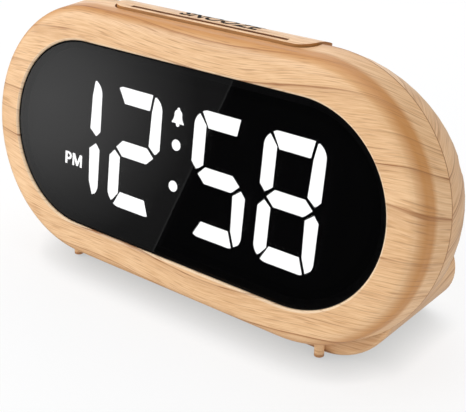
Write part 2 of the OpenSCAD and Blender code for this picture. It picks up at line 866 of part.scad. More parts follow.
module driver_chip() {
    pin_y = (chip.y + chip_pin.y) / 2 - pin_gap;
    color(black) on_face() translate([chip_at.x, chip_at.y, 0]) {
        layer(board_back - chip_t, board_back) square(chip, center = true);
        layer(board_back - chip_pin.z, board_back)
            for (i = [0:chip_pins - 1], side = [-1, 1])
                translate([(i - (chip_pins - 1) / 2) * chip_pitch, side * pin_y])
                    square([chip_pin.x, chip_pin.y], center = true);
    }
}

module crystal() {
    color(steel) on_face() translate([crystal_at.x, crystal_at.y, board_back - crystal_r]) rotate([90, 0, 0])
        cylinder(r = crystal_r, h = crystal_l, center = true);
}

module screw(head_r, r, l) {
    rod(head_r, -head_t, 0);
    rod(r, 0, l);
}

module pcb_screws() {
    color(steel) on_face() at_board_screws() translate([0, 0, board_back])
        screw(board_head_r, board_screw_r, board_screw_l);
}

module housing_screws() {
    color(steel) on_face() at_case_screws() translate([0, 0, tube_z])
        screw(case_head_r, case_screw_r, case_screw_l);
}

// Snooze bar
module snooze_plan(extra) {
    r = snooze_corner + extra;
    corner_rect(
        [-snooze_l / 2 - extra, snooze_d - extra], [snooze_l / 2 + extra, snooze_back + extra], [r, r, r, r]
    );
}

module snooze_rod(r, y0, y1) {
    translate([0, y0, -snooze_pin_d]) rotate([-90, 0, 0]) cylinder(r = r, h = y1 - y0);
}

module crown(inset) {
    translate([-far / 2, 0, 0]) rotate([0, 90, 0]) linear_extrude(far)
        translate([crown_d, crown_y]) circle(crown_r - inset);
}

module snooze_button() {
    groove_l = snooze_l - 2 * groove_end;
    tabs_l = snooze_l + 2 * tab_l;
    color(wood) on_face() {
        difference() {
            union() {
                intersection() {
                    along_up(tab_y, seam_r + far) snooze_plan(0);
                    crown(0);
                }
                along_up(tab_y, tab_y + tab_t)
                    translate([-tabs_l / 2, snooze_d + tab_in]) square([tabs_l, tab_w]);
            }
            difference() {
                intersection() {
                    along_up(tab_y - past, seam_r + far) snooze_plan(-snooze_wall);
                    crown(snooze_wall);
                }
                snooze_rod(snooze_post_r, tab_y - past, seam_r + far);
            }
            difference() {
                along_up(tab_y + tab_t, seam_r + far)
                    translate([-groove_l / 2, snooze_d + groove_in]) square([groove_l, groove[1]]);
                crown(groove[0]);
            }
        }
        snooze_rod(snooze_post_r, snooze_pin_y, tab_y + past);
    }
}

module snooze_switch() {
    low = snooze_pin_y - snooze_pin_l - snooze_travel - part_gap;
    color(black) on_face() difference() {
        along_up(snooze_tact_y - snooze_tact_h, snooze_tact_y)
            translate([-tact_w / 2, -board_back]) square([tact_w, snooze_tact_d]);
        snooze_rod(snooze_pin_r + pin_gap, low, snooze_tact_y + past);
    }
}

module snooze_plunger() {
    color(steel) on_face() snooze_rod(snooze_pin_r, snooze_pin_y - snooze_pin_l, snooze_pin_y);
}

// Key board
module key_pcb() {
    color(green) on_panel() layer(key_board_z, key_board_z + board_t) difference() {
        round_rect(key_board, board_boss_r);
        for (at = key_screws_at)
            translate(at) circle(board_screw_r + pin_gap);
        translate(dimmer_at) square([wheel_t, 2 * wheel_r] + 4 * part_gap * [1, 1], center = true);
    }
}

module key_screws() {
    color(steel) for (at = key_screws_at)
        on_panel(at) translate([0, 0, key_board_z + board_t]) mirror([0, 0, 1])
            screw(board_head_r, board_screw_r, board_screw_l);
}

module key_switches() {
    well = tact_pin_in + key_travel + part_gap;
    color(black) for (x = key_x) on_panel([x, key_up]) difference() {
        layer(tact_z, key_board_z) square(tact_w, center = true);
        rod(tact_pin_r + pin_gap, tact_z - past, tact_z + well);
    }
}

module plunger(i) {
    color(steel) on_panel([key_x[i], key_up]) rod(tact_pin_r, tact_z - tact_pin_out, tact_z + tact_pin_in);
}

module key(i) {
    rim_z = inner_z + pin_gap;
    dish_r = (key_r * key_r + dish * dish) / (2 * dish);
    color(wood) on_panel([key_x[i], key_up]) difference() {
        union() {
            rod(key_r, key_tip_z, rim_z + key_rim[1]);
            rod(key_r + key_rim[0], rim_z, rim_z + key_rim[1]);
            rod(tact_pin_r, rim_z, tact_z - tact_pin_out);
        }
        translate([0, 0, key_tip_z - dish_r + dish]) sphere(dish_r);
    }
}

module time_button() { key(0); }
module alarm_button() { key(1); }
module hour_button() { key(2); }
module minute_button() { key(3); }
module time_plunger() { plunger(0); }
module alarm_plunger() { plunger(1); }
module hour_plunger() { plunger(2); }
module minute_plunger() { plunger(3); }

// Alarm switch: the lever rests at one end of its travel
module alarm_switch() {
    face = key_board_z - alarm_body.z;
    run = [alarm_travel, 0] + 2 * pin_gap * [1, 1];
    color(steel) on_panel(alarm_at) difference() {
        layer(face, key_board_z) square([alarm_body.x, alarm_body.y], center = true);
        layer(face - past, face + past) square(run + alarm_neck, center = true);
        layer(face + past, face + past + alarm_foot.z + 2 * pin_gap)
            square(run + [alarm_foot.x, alarm_foot.y], center = true);
    }
}

module alarm_knob() {
    foot_z = key_board_z - alarm_body.z + past + pin_gap;
    rib = alarm_neck.x / alarm_ribs;
    color(black) on_panel(alarm_at) translate([-alarm_travel / 2, 0, 0]) difference() {
        union() {
            layer(foot_z, foot_z + alarm_foot.z) square([alarm_foot.x, alarm_foot.y], center = true);
            layer(key_tip_z, foot_z) square(alarm_neck, center = true);
        }
        for (i = [0:alarm_ribs - 1])
            translate([(i - (alarm_ribs - 1) / 2) * rib, 0, key_tip_z]) rotate([90, 0, 0])
                cylinder(r = rib / 4, h = far, center = true);
    }
}

// Dimmer: a thumb wheel on the shaft of a potentiometer
module dimmer_wheel() {
    color(black) on_panel(dimmer_at) translate([0, 0, wheel_z]) rotate([0, 90, 0]) {
        difference() {
            cylinder(r = wheel_r, h = wheel_t, center = true);
            for (i = [1:wheel_notches])
                rotate(360 * i / wheel_notches) translate([wheel_r, 0, 0])
                    cylinder(r = notch_r, h = wheel_t + 2 * past, center = true);
        }
        cylinder(r = shaft_r, h = wheel_t / 2 + part_gap + shaft_l);
    }
}

module dimmer_pot() {
    side = wheel_t / 2 + part_gap;
    low = inner_z + part_gap;
    color(green) on_panel(dimmer_at) difference() {
        translate([side, -pot_size.y / 2, low]) cube([pot_size.x, pot_size.y, key_board_z - low]);
        translate([side - past, 0, wheel_z]) rotate([0, 90, 0])
            cylinder(r = shaft_r + pin_gap, h = shaft_l + past + part_gap);
    }
}

// Power inlet: an upright receptacle with its tongue
module inlet_outline(extra) {
    size = inlet_size + 2 * extra * [1, 1];
    square([size.x - size.y, size.y], center = true);
    for (side = [-1, 1])
        translate([side * (size.x - size.y) / 2, 0]) circle(size.y / 2);
}

module usb_inlet() {
    base_z = key_board_z - inlet_base;
    color(steel) on_panel(inlet_at) {
        difference() {
            layer(floor_z + pin_gap, key_board_z) inlet_outline(0);
            layer(floor_z - past, base_z) inlet_outline(-inlet_wall);
        }
        layer(floor_z + tongue_in, base_z) square(tongue, center = true);
    }
}

module buzzer() {
    low = key_board_z - buzzer_t;
    color(black) on_panel(buzzer_at) difference() {
        rod(buzzer_r, low, key_board_z);
        rod(buzzer_hole_r, low - past, low + past);
    }
}

// Ribbon between the boards: a flat cable with one half turn
module ribbon_headers() {
    color(white) on_face() translate([header_x, ribbon_y, 0]) difference() {
        for (z = ribbon_z)
            layer(z - header.z / 2, z + header.z / 2)
                translate([-header.x / 2, 0]) square([header.x, header.y]);
        for (z = ribbon_z)
            layer(z - ribbon_t / 2, z + ribbon_t / 2)
                translate([-ribbon_w / 2, -past]) square([ribbon_w, header.y]);
    }
}

module ribbon_cable() {
    middle = (ribbon_z[0] + ribbon_z[1]) / 2;
    bend_y = ribbon_y - header.y;
    end_y = ribbon_y + header.y - past;
    color(white) on_face() translate([header_x - ribbon_w / 2, 0, 0]) rotate([90, 0, 90])
        linear_extrude(ribbon_w) {
            for (z = ribbon_z)
                translate([bend_y, z - ribbon_t / 2]) square([end_y - bend_y, ribbon_t]);
            intersection() {
                translate([bend_y, middle]) difference() {
                    circle(ribbon_bend + ribbon_t / 2);
                    circle(ribbon_bend - ribbon_t / 2);
                }
                translate([bend_y - far, middle - far / 2]) square(far);
            }
        }
}

// Coin cell and its door
module backup_cell() {
    color(steel) on_table() translate([cell_x, cell_y, 0]) {
        rod(cell_r, well_z + cell_rim, well_z + cell_t);
        rod(cell_r - cell_step, well_z, well_z + cell_rim);
    }
}

module cell_contacts() {
    color(steel) on_table() for (side = [-1, 1])
        translate([cell_x + side * leaf.x, cell_y, 0]) {
            layer(well_top - contact_t, well_top) square(leaf, center = true);
            layer(well_z + cell_t, well_top)
                translate(-leaf / 2) square([leaf.x, contact_t]);
        }
}

module cell_leads() {
    elbow = 1.15 * lead_r;
    color("firebrick") on_table() for (side = [-1, 1])
        translate([cell_x + side * leaf.x, 0, 0]) {
            translate([0, cell_y, lead_from.y]) rotate([90, 0, 0]) cylinder(r = lead_r, h = lead_run);
            translate([0, lead_from.x, lead_from.y]) {
                sphere(elbow);
                rotate([lead_tilt, 0, 0]) cylinder(r = lead_r, h = lead_l);
            }
        }
}

module battery_door() {
    color(wood) on_table() translate([0, cell_y, 0]) difference() {
        layer(pad_proud, well_z) round_rect(door_size, door_corner);
        translate([door_screw_x, 0, 0]) {
            rod(board_screw_r + pin_gap, 0, well_z + past);
            rod(board_head_r + pin_gap, 0, pad_proud + door_t / 2);
        }
    }
}

module door_screw() {
    seat = pad_proud + door_t / 2;
    color(steel) on_table() translate([door_screw_x, cell_y, 0]) {
        rod(board_head_r, pad_proud, seat);
        rod(board_screw_r, seat, seat + board_screw_l);
    }
}

// Rubber pads under the foot's corners
module at_pads() {
    pad_x = foot_w / 2 - foot_r - pad_r;
    pad_y = [foot_front(pad_proud, foot_edge) + pad_in + pad_r, foot_back - pad_in - pad_r];
    for (side = [-1, 1], y = pad_y)
        on_table() translate([side * pad_x, y, 0]) children();
}

module foot_pads() {
    color(black) at_pads() rod(pad_r, 0, pad_t);
}

front_shell();
rear_shell();
display_lens();
lens_tape();
led_reflector();
lit_segments();
unlit_segments();
colon_dots();
indicator_windows();
display_pcb();
segment_leds();
driver_chip();
crystal();
pcb_screws();
housing_screws();
snooze_button();
snooze_switch();
snooze_plunger();
key_pcb();
key_screws();
key_switches();
time_button();
alarm_button();
hour_button();
minute_button();
time_plunger();
alarm_plunger();
hour_plunger();
minute_plunger();
alarm_switch();
alarm_knob();
dimmer_pot();
dimmer_wheel();
usb_inlet();
buzzer();
ribbon_headers();
ribbon_cable();
backup_cell();
cell_contacts();
cell_leads();
battery_door();
door_screw();
foot_pads();
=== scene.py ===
import json
import math

import bmesh
import bpy
from bpy.props import FloatProperty, FloatVectorProperty, PointerProperty, StringProperty
from mathutils import Matrix, Vector
from mathutils.bvhtree import BVHTree

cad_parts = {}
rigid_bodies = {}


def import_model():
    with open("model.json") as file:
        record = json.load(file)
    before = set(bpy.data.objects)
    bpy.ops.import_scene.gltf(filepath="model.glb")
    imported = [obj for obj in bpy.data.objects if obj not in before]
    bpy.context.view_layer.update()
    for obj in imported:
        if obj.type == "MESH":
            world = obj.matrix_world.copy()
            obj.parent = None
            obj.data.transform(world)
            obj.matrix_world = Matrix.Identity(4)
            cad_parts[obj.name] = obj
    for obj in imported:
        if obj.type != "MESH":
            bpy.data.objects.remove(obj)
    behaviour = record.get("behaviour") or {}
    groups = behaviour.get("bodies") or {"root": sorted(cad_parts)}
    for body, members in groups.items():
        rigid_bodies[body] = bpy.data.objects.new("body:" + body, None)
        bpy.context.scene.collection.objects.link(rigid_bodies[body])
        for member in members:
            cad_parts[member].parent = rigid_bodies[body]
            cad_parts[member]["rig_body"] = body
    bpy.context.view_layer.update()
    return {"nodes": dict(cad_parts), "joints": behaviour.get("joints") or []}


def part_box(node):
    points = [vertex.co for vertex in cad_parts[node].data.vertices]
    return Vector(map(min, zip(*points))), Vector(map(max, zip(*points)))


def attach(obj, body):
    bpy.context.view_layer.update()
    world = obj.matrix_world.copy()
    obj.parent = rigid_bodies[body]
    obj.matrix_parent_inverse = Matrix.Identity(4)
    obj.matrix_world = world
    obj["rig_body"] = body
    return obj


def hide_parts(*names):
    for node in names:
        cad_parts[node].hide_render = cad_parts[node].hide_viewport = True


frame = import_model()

bl_info = {
    "name": "Digital desk clock",
    "version": (1, 0, 0),
    "blender": (4, 5, 0),
    "location": "View3D > Sidebar > Desk clock",
    "description": "Dresses a packed desk clock: wood film, smoked lens, lit digits, printed marks and a studio",
    "category": "Object",
}

MM = 0.001
ACROSS = Vector((1, 0, 0))


def joint_axis(name):
    return Vector(next(j["axis"] for j in frame["joints"] if j["name"] == name)).normalized()


# The leaning face: across to the right, up along the face, and out of the lens towards the viewer.
UP = -joint_axis("snooze_press")
OUT = joint_axis("time_press")


def node_mesh(node):
    return frame["nodes"][node].data


def lens_front():
    """The point in the middle of the lens's front."""
    corners = [v.co for v in node_mesh("display_lens").vertices]
    front = max(c.dot(OUT) for c in corners)
    ups = [c.dot(UP) for c in corners]
    return OUT * front + UP * (min(ups) + max(ups)) / 2


FACE = lens_front()
LENS_LOW, LENS_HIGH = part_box("display_lens")
LENS_RADIUS = max((v.co - FACE).dot(UP) for v in node_mesh("display_lens").vertices)
# Half the straight length between the lens's round ends.
SPINE = (LENS_HIGH.x - LENS_LOW.x) / 2 - LENS_RADIUS
# Depth of the seam between the shells, found on the front shell's top, above the lens.
SEAM_DEPTH = max((FACE - v.co).dot(OUT) for v in node_mesh("front_shell").vertices
                 if (v.co - FACE).dot(UP) > LENS_RADIUS + 10 * MM)

# Grain of the wood film: lines per metre across the grain.
WIDE_RINGS = 112
THIN_RINGS = 300
FIBRES = 3000
PORES = 2400
# The grain's lines rise towards both ends of the clock, from a place left of its middle, in metres.
GRAIN_BOW = -0.75
GRAIN_MIDDLE = 0.02
# Width of the film round the lens on which its painted edge shade and painted rim highlight are placed, in
# metres.
FILM_BORDER = 0.012

# Print, and the black rim painted as shade at the lens's edge, in millimetres.
BORDER_WIDTH = 2.4
BORDER_BEHIND = 0.06
TAPE_GAP = 0.05
RIM_WIDTH = 0.40
RIM_IN = 0.02
RIM_LIFT = 0.01
RING_THICK = 0.04
MARK_THICK = 0.1
PRINT_LIFT = 0.04
PRINT_CUTS = 0.5
# Dark end of a lit segment, in millimetres.
DARK_END = 0.38

# Smooth shading: points closer than this, in metres, are one, and edges sharper than this, in degrees, stay.
WELD = 2e-6
SHARP = 30.0

# The printed word: its cap height as a share of the font's size, the spacing of its letters and
# the width added to their strokes.
CAP_SHARE = 0.7
WORD_SPACING = 1.06
WORD_BOLD = 0.2

# Studio lights: name, share of the set power, size and place in metres. All face one point.
STUDIO_LIGHTS = (
    ("key_light", 0.59, 0.7, (-0.60, -0.52, 0.42)),
    ("top_light", 0.55, 1.0, (0.0, 0.35, 1.10)),
    ("side_light", 0.14, 0.8, (1.0, -0.35, 0.50)),
    ("back_light", 0.22, 0.9, (-0.60, 0.85, 0.38)),
)
LIT_POINT = Vector((0, 0, 0.04))
# The floor's half side, and the reach of the painted shadow under the clock, in metres.
FLOOR_HALF = 4.0
SHADE_REACH = 0.011
# Strength of the background past the floor's edge.
BACKGROUND = 0.95

# The card that the lens reflects, in metres: half its side, its distance, and the reach of its glow
# and of its bright trim.
CARD_HALF = 0.3
CARD_AWAY = 0.15
GLOW_REACH = 0.13
TRIM_REACH = 0.01
# Places on the lens, in millimetres, where the card's edge crosses it and where its glow is brightest.
CARD_EDGE_HIGH = (16.2, 27)
CARD_EDGE_LOW = (-6.5, -27)
CARD_GLOW = (-50, 8)

CAMERA_RIGHT = Vector((0.7790, 0.6270, 0.0060)).normalized()
CAMERA_FORWARD = Vector((-0.5663, 0.7078, -0.4224)).normalized()
SENSOR_WIDTH = 36.0


def on_face(x, up, out=0.0):
    """A point in the row frame from millimetres across, up and out of the lens's front."""
    return FACE + ACROSS * (x * MM) + UP * (up * MM) + OUT * (out * MM)


def from_face(point):
    """Millimetres across, up and out of the lens's front for a point in the row frame."""
    local = (point - FACE) / MM
    return local.x, local.dot(UP), local.dot(OUT)


def node_points(node):
    """A node's vertices in millimetres across, up and out of the lens's front."""
    return [from_face(v.co) for v in node_mesh(node).vertices]


# Shader helpers

COLOR, VALUE = "NodeSocketColor", "NodeSocketFloat"


class Tree:
    """Places nodes in a material, a world or a node group, and links them by socket name."""

    def __init__(self, tree):
        self.tree = tree

    def add(self, kind, settings=None, **inputs):
        made = self.tree.nodes.new(kind)
        for key, value in (settings or {}).items():
            setattr(made, key, value)
        for key, value in inputs.items():
            self.feed(made.inputs[key], value)
        return made

    def feed(self, socket, value):
        if isinstance(value, bpy.types.NodeSocket):
            self.tree.links.new(value, socket)
        elif value is not None:
            socket.default_value = value

    def fill(self, made, *values):
        for socket, value in zip(made.inputs, values):
            self.feed(socket, value)
        return made

    def math(self, operation, a, b=None, c=None, clamp=False):
        made = self.add("ShaderNodeMath", {"operation": operation, "use_clamp": clamp})
        return self.fill(made, a, b, c).outputs[0]

    def dot(self, vector, direction):
        made = self.add("ShaderNodeVectorMath", {"operation": "DOT_PRODUCT"})
        return self.fill(made, vector, direction).outputs["Value"]

    def distance(self, vector, point):
        made = self.add("ShaderNodeVectorMath", {"operation": "DISTANCE"})
        return self.fill(made, vector, point).outputs["Value"]

    def combine(self, x, y, z):
        return self.fill(self.add("ShaderNodeCombineXYZ"), x, y, z).outputs[0]

    def noise(self, vector, scale=1.0, detail=2.0, roughness=0.5):
        made = self.add("ShaderNodeTexNoise", Vector=vector, Scale=scale, Detail=detail, Roughness=roughness)
        return made.outputs["Fac"]

    def ramp(self, value, *stops):
        """A colour ramp whose stops are (place, brightness), put out as one value."""
        made = self.fill(self.add("ShaderNodeValToRGB"), value)
        while len(made.color_ramp.elements) < len(stops):
            made.color_ramp.elements.new(0.5)
        for element, (place, level) in zip(made.color_ramp.elements, stops):
            element.position = place
            element.color = (level, level, level, 1)
        return made.outputs["Color"]

    def mix(self, share, a, b, blend="MIX"):
        made = self.add("ShaderNodeMix", {"data_type": "RGBA", "blend_type": blend})
        for name, value in (("Factor_Float", share), ("A_Color", a), ("B_Color", b)):
            self.feed(next(s for s in made.inputs if s.identifier == name), value)
        return next(s for s in made.outputs if s.identifier == "Result_Color")

    def tinted(self, colour, gain):
        """A colour times a value."""
        return self.mix(1.0, colour, self.combine(gain, gain, gain), "MULTIPLY")

    def place(self):
        return self.add("ShaderNodeTexCoord").outputs["Object"]


def surface_group(name, inputs):
    """Makes the function below it give one shared node group, built on its first use.

    Inputs are (name, default), with None for a colour. The group puts out a colour, a roughness
    and a height."""
    def shared(build):
        def give():
            if name not in bpy.data.node_groups:
                group = bpy.data.node_groups.new(name, "ShaderNodeTree")
                for label, default in inputs:
                    kind = COLOR if default is None else VALUE
                    socket = group.interface.new_socket(name=label, in_out="INPUT", socket_type=kind)
                    if default is not None:
                        socket.default_value = default
                for label, kind in (("Color", COLOR), ("Roughness", VALUE), ("Height", VALUE)):
                    group.interface.new_socket(name=label, in_out="OUTPUT", socket_type=kind)
                tree = Tree(group)
                build(tree, tree.add("NodeGroupInput").outputs, tree.add("NodeGroupOutput").inputs)
            return bpy.data.node_groups[name]
        return give
    return shared


@surface_group("wood film", (
    ("Light", None), ("Dark", None), ("Streak", None), ("Edge Shade Tone", None), ("Streak Strength", 0.6),
    ("Shift", 0.0), ("Fold", 0.2), ("Fan", 0.0), ("Edge", 0.0), ("Rim", 0.0), ("Seam", 0.0),
    ("Low End", -1.0), ("Under", 0.0)))
def wood_film_group(t, given, out):
    """Printed wood grain along the clock, folded over its edges, with painted shade along the front edge's
    round, where a shell turns under and at its lowest end, a painted highlight round the lens, and a dark line
    at the seam.
    """
    spot = t.add("ShaderNodeTexCoord")
    place = spot.outputs["Object"]
    across = t.dot(place, ACROSS)
    along = t.math("ADD", across, given["Shift"])
    up = t.math("SUBTRACT", t.dot(place, UP), FACE.dot(UP))
    back = t.math("SUBTRACT", t.dot(place, -OUT), FACE.dot(-OUT))
    fold = t.math("MULTIPLY_ADD", up, given["Fan"], given["Fold"])
    bow = t.math("MULTIPLY", t.math("POWER", t.math("ADD", across, GRAIN_MIDDLE), 2.0), GRAIN_BOW)
    layer = t.math("ADD", t.math("MULTIPLY_ADD", back, fold, up), bow)

    def grain(along_rate, sheet, sheet_rate, back_rate, detail=1.0, roughness=0.5):
        """Noise drawn out along the clock; rates are per metre along it, across the grain and backwards."""
        pairs = ((along, along_rate), (sheet, sheet_rate), (back, back_rate))
        drawn_out = t.combine(*(t.math("MULTIPLY", value, rate) for value, rate in pairs))
        return t.noise(drawn_out, detail=detail, roughness=roughness)

    def bend(sheet, noise, most):
        return t.math("MULTIPLY_ADD", t.math("SUBTRACT", noise, 0.5), most, sheet)

    def rings(rate, *stops):
        return t.ramp(t.math("FRACT", t.math("MULTIPLY", bent, rate)), *stops)

    bent = bend(layer, grain(9, layer, 26, 12), 0.024)
    bent = bend(bent, grain(70, layer, 120, 20), 0.0005)
    # Growth rings: each darkens slowly and ends at a sharp line, and some fade out along their length.
    wide = rings(WIDE_RINGS, (0.0, 0.4), (0.025, 0.0), (0.60, 0.0), (0.90, 0.20), (0.95, 0.34), (0.985, 1.0))
    wide = t.math("MULTIPLY", wide, t.ramp(grain(11, bent, WIDE_RINGS, 8), (0.34, 0.0), (0.54, 1.0)))
    thin = rings(THIN_RINGS, (0.0, 0.4), (0.04, 0.0), (0.84, 0.0), (0.97, 1.0))
    thin = t.math("MULTIPLY", thin, t.ramp(grain(30, bent, THIN_RINGS, 15), (0.50, 0.0), (0.68, 0.85)))
    streak = t.math("MULTIPLY", t.math("MAXIMUM", wide, thin), given["Streak Strength"])
    fibres = t.ramp(grain(120, bent, FIBRES, 60, 3.0, 0.6), (0.38, 0.0), (0.62, 1.0))
    tone = t.ramp(grain(5, bent, 70, 6, 1.5), (0.32, 0.0), (0.68, 1.0))
    shade = t.math("MULTIPLY_ADD", fibres, 0.66, t.math("MULTIPLY", tone, 0.34))
    base = t.mix(shade, given["Light"], given["Dark"])
    pores = t.math("MULTIPLY", t.ramp(grain(120, bent, PORES, 120), (0.57, 0.0), (0.70, 1.0)), 0.40)
    # Painted shade: a darker, more orange band along the round of the front edge, where the front turns to the
    # sides, a little weaker at the round ends.
    beyond = t.math("MAXIMUM", t.math("SUBTRACT", t.math("ABSOLUTE", across), SPINE), 0.0)
    ring = t.distance(t.combine(beyond, up, 0.0), (0.0, 0.0, 0.0))
    from_lens = t.math("MULTIPLY", t.math("SUBTRACT", ring, LENS_RADIUS), 1 / FILM_BORDER)
    painted_edge_shade = t.ramp(from_lens, (0.64, 0.0), (0.80, 1.0), (0.84, 1.0), (0.865, 0.0))
    at_end = t.math("POWER", t.math("DIVIDE", beyond, ring), 2.0)
    painted_edge_shade = t.math("MULTIPLY", painted_edge_shade, t.math("MULTIPLY_ADD", at_end, -0.15, 1.0))
    base = t.mix(t.math("MULTIPLY", painted_edge_shade, given["Edge"]), base, given["Edge Shade Tone"])
    # Painted highlight: a pale line on the film round the lens's opening.
    painted_rim_highlight = t.ramp(from_lens, (0.045, 1.0), (0.065, 0.0))
    base = t.mix(t.math("MULTIPLY", painted_rim_highlight, given["Rim"]), base, (1.0, 0.78, 0.54, 1))
    dark = t.math("ADD", streak, pores, clamp=True)
    # Its cut edge shows as a thin dark line at the seam.
    cut = t.math("ABSOLUTE", t.math("SUBTRACT", back, SEAM_DEPTH))
    cut = t.ramp(t.math("MULTIPLY", cut, 1 / MM), (0.20, 1.0), (0.32, 0.0))
    dark = t.math("MAXIMUM", dark, t.math("MULTIPLY", cut, given["Seam"]))
    # Painted shade: a thin dark line at the lowest end of a shell, next to the floor.
    low = t.math("SUBTRACT", t.dot(place, (0, 0, 1)), given["Low End"])
    low = t.ramp(t.math("MULTIPLY", low, 1 / MM), (0.65, 0.75), (0.95, 0.0))
    dark = t.math("MAXIMUM", dark, low)
    # Painted shade: it is darker where a shell turns under, up to its flat underside.
    under = t.ramp(t.dot(spot.outputs["Normal"], (0, 0, -1)),
                   (0.20, 0.0), (0.50, 0.28), (0.90, 0.28), (0.96, 0.0))
    dark = t.math("MAXIMUM", dark, t.math("MULTIPLY", under, given["Under"]))
    t.feed(out["Color"], t.mix(dark, base, given["Streak"]))
    t.feed(out["Roughness"], t.math("MULTIPLY_ADD", fibres, 0.08, 0.36))
    t.feed(out["Height"], t.math("SUBTRACT", t.math("MULTIPLY", fibres, 0.4), streak))


@surface_group("moulded surface", (("Color", None), ("Grain", 1200.0), ("Contrast", 0.2), ("Roughness", 0.5)))
def moulded_group(t, given, out):
    """Fine mottle of a moulded or sprayed surface."""
    place = t.place()
    fine = t.noise(place, given["Grain"])
    wide = t.noise(place, 60.0)
    both = t.math("MULTIPLY_ADD", fine, 0.6, t.math("MULTIPLY", wide, 0.4))
    swing = t.math("MULTIPLY", t.math("SUBTRACT", both, 0.5), given["Contrast"])
    t.feed(out["Color"], t.tinted(given["Color"], t.math("ADD", swing, 1.0)))
    t.feed(out["Roughness"], t.math("ADD", given["Roughness"], t.math("MULTIPLY", swing, 0.5), clamp=True))
    t.feed(out["Height"], fine)


@surface_group("brushed lines", (("Color", None), ("Roughness", 0.3)))
def brushed_group(t, given, out):
    """Fine scratches on plated metal, drawn out along the clock."""
    place = t.place()
    lines = t.noise(t.combine(t.math("MULTIPLY", t.dot(place, ACROSS), 300),
                              t.math("MULTIPLY", t.dot(place, UP), 9000),
                              t.math("MULTIPLY", t.dot(place, OUT), 9000)))
    swing = t.math("MULTIPLY", t.math("SUBTRACT", lines, 0.5), 0.3)
    t.feed(out["Color"], t.tinted(given["Color"], t.math("ADD", swing, 1.0)))
    t.feed(out["Roughness"], t.math("ADD", given["Roughness"], t.math("MULTIPLY", swing, 0.4), clamp=True))
    t.feed(out["Height"], lines)


def new_material(name):
    """An empty material with its shader."""
    material = bpy.data.materials.new(name)
    material.use_nodes = True
    material.node_tree.nodes.clear()
    tree = Tree(material.node_tree)
    shader = tree.add("ShaderNodeBsdfPrincipled")
    end = tree.add("ShaderNodeOutputMaterial")
    tree.feed(end.inputs["Surface"], shader.outputs[0])
    return material, tree, shader


def set_sockets(node, values):
    for name, value in values.items():
        node.inputs[name].default_value = value


def with_group(name, group, values, bump, depth):
    """A material whose colour, roughness and bump come from one node group."""
    material, tree, shader = new_material(name)
    made = tree.add("ShaderNodeGroup", {"node_tree": group})
    set_sockets(made, values)
    tree.feed(shader.inputs["Base Color"], made.outputs["Color"])
    tree.feed(shader.inputs["Roughness"], made.outputs["Roughness"])
    relief = tree.add("ShaderNodeBump", Strength=bump, Distance=depth, Height=made.outputs["Height"])
    tree.feed(shader.inputs["Normal"], relief.outputs[0])
    return material, shader


def made_once(make):
    """Lets a function make each named material once, and give it again when it is asked for."""
    def give(name, *values, **named):
        if name not in bpy.data.materials:
            make(name, *values, **named)
        return bpy.data.materials[name]
    return give


@made_once
def wood_material(name, tones, settings, **values):
    """Wood film in three tones; values go to the wood film group's sockets."""
    sockets = {socket.replace("_", " "): value for socket, value in values.items()}
    for socket, tone in zip(("Light", "Dark", "Streak", "Edge Shade Tone"), (*tones, settings.edge)):
        sockets[socket] = (*tone, 1)
    sockets["Streak Strength"] = settings.streak_strength
    shader = with_group(name, wood_film_group(), sockets, bump=0.12, depth=0.00004)[1]
    set_sockets(shader, {"Specular IOR Level": 0.35, "Coat Weight": settings.gloss, "Coat Roughness": 0.25})


def wood_tones(settings):
    return settings.light, settings.dark, settings.streak


def front_wood(settings):
    # Painted shade along the front edge's round and at the lowest end, and a painted highlight round the lens.
    return wood_material("wood film front", wood_tones(settings), settings, Fold=0.2, Fan=11.0, Edge=0.95,
                         Rim=0.7, Seam=0.9, Low_End=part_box("front_shell")[0].z)


def rear_wood(settings):
    """Film on the rear shell, whose grain runs another way than the front's, with painted shade where it turns
    under and at its lowest end.
    """
    return wood_material("wood film rear", wood_tones(settings), settings, Shift=0.17, Fold=-0.55, Seam=0.9,
                         Under=1.0, Low_End=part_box("rear_shell")[0].z + 0.5 * MM)


def darker_wood(name, tone, shares, settings):
    """Film in three shares of one tone."""
    return wood_material(name, [[c * share for c in tone] for share in shares], settings, Shift=0.07)


def wall_shade_wood(settings):
    """Darker film painted as shade in gaps and on the walls of loose pieces."""
    return darker_wood("wood film edge", settings.edge, (0.9, 0.7, 0.4), settings)


def groove_shade_wood(settings):
    """Darker film painted as shade in the pressed groove."""
    return darker_wood("wood film groove", settings.streak, (0.8, 0.6, 0.4), settings)


def moulded(name, colour, roughness, grain, contrast):
    """A material of the moulded surface group."""
    values = {"Color": (*colour, 1), "Grain": grain, "Contrast": contrast, "Roughness": roughness}
    return with_group(name, moulded_group(), values, bump=0.1, depth=0.00003)


@made_once
def plastic_material(name, colour, roughness, grain=1500.0, contrast=0.15):
    """Moulded plastic, rubber or a board's mask."""
    moulded(name, colour, roughness, grain, contrast)


@made_once
def ink_material(name, colour):
    """Matt printing ink, which hardly shines."""
    shader = moulded(name, colour, roughness=0.7, grain=4000.0, contrast=0.3)[1]
    set_sockets(shader, {"Specular IOR Level": 0.05})


@made_once
def metal_material(name, colour, roughness):
    """Plated metal with fine scratches."""
    values = {"Color": (*colour, 1), "Roughness": roughness}
    shader = with_group(name, brushed_group(), values, bump=0.1, depth=0.00001)[1]
    set_sockets(shader, {"Metallic": 1.0})


@made_once
def glow_material(name, colour, strength):
    """A diffuser lit from behind, a little cloudy."""
    tree, shader = new_material(name)[1:]
    cloud = tree.ramp(tree.noise(tree.place(), 260.0, detail=1.0), (0.2, 0.9), (0.8, 1.0))
    lit = tree.mix(1.0, (*colour, 1), cloud, "MULTIPLY")
    tree.feed(shader.inputs["Base Color"], lit)
    tree.feed(shader.inputs["Emission Color"], lit)
    set_sockets(shader, {"Emission Strength": strength, "Roughness": 0.45})


def black_plastic():
    return plastic_material("black plastic", (0.02, 0.02, 0.022), 0.42)


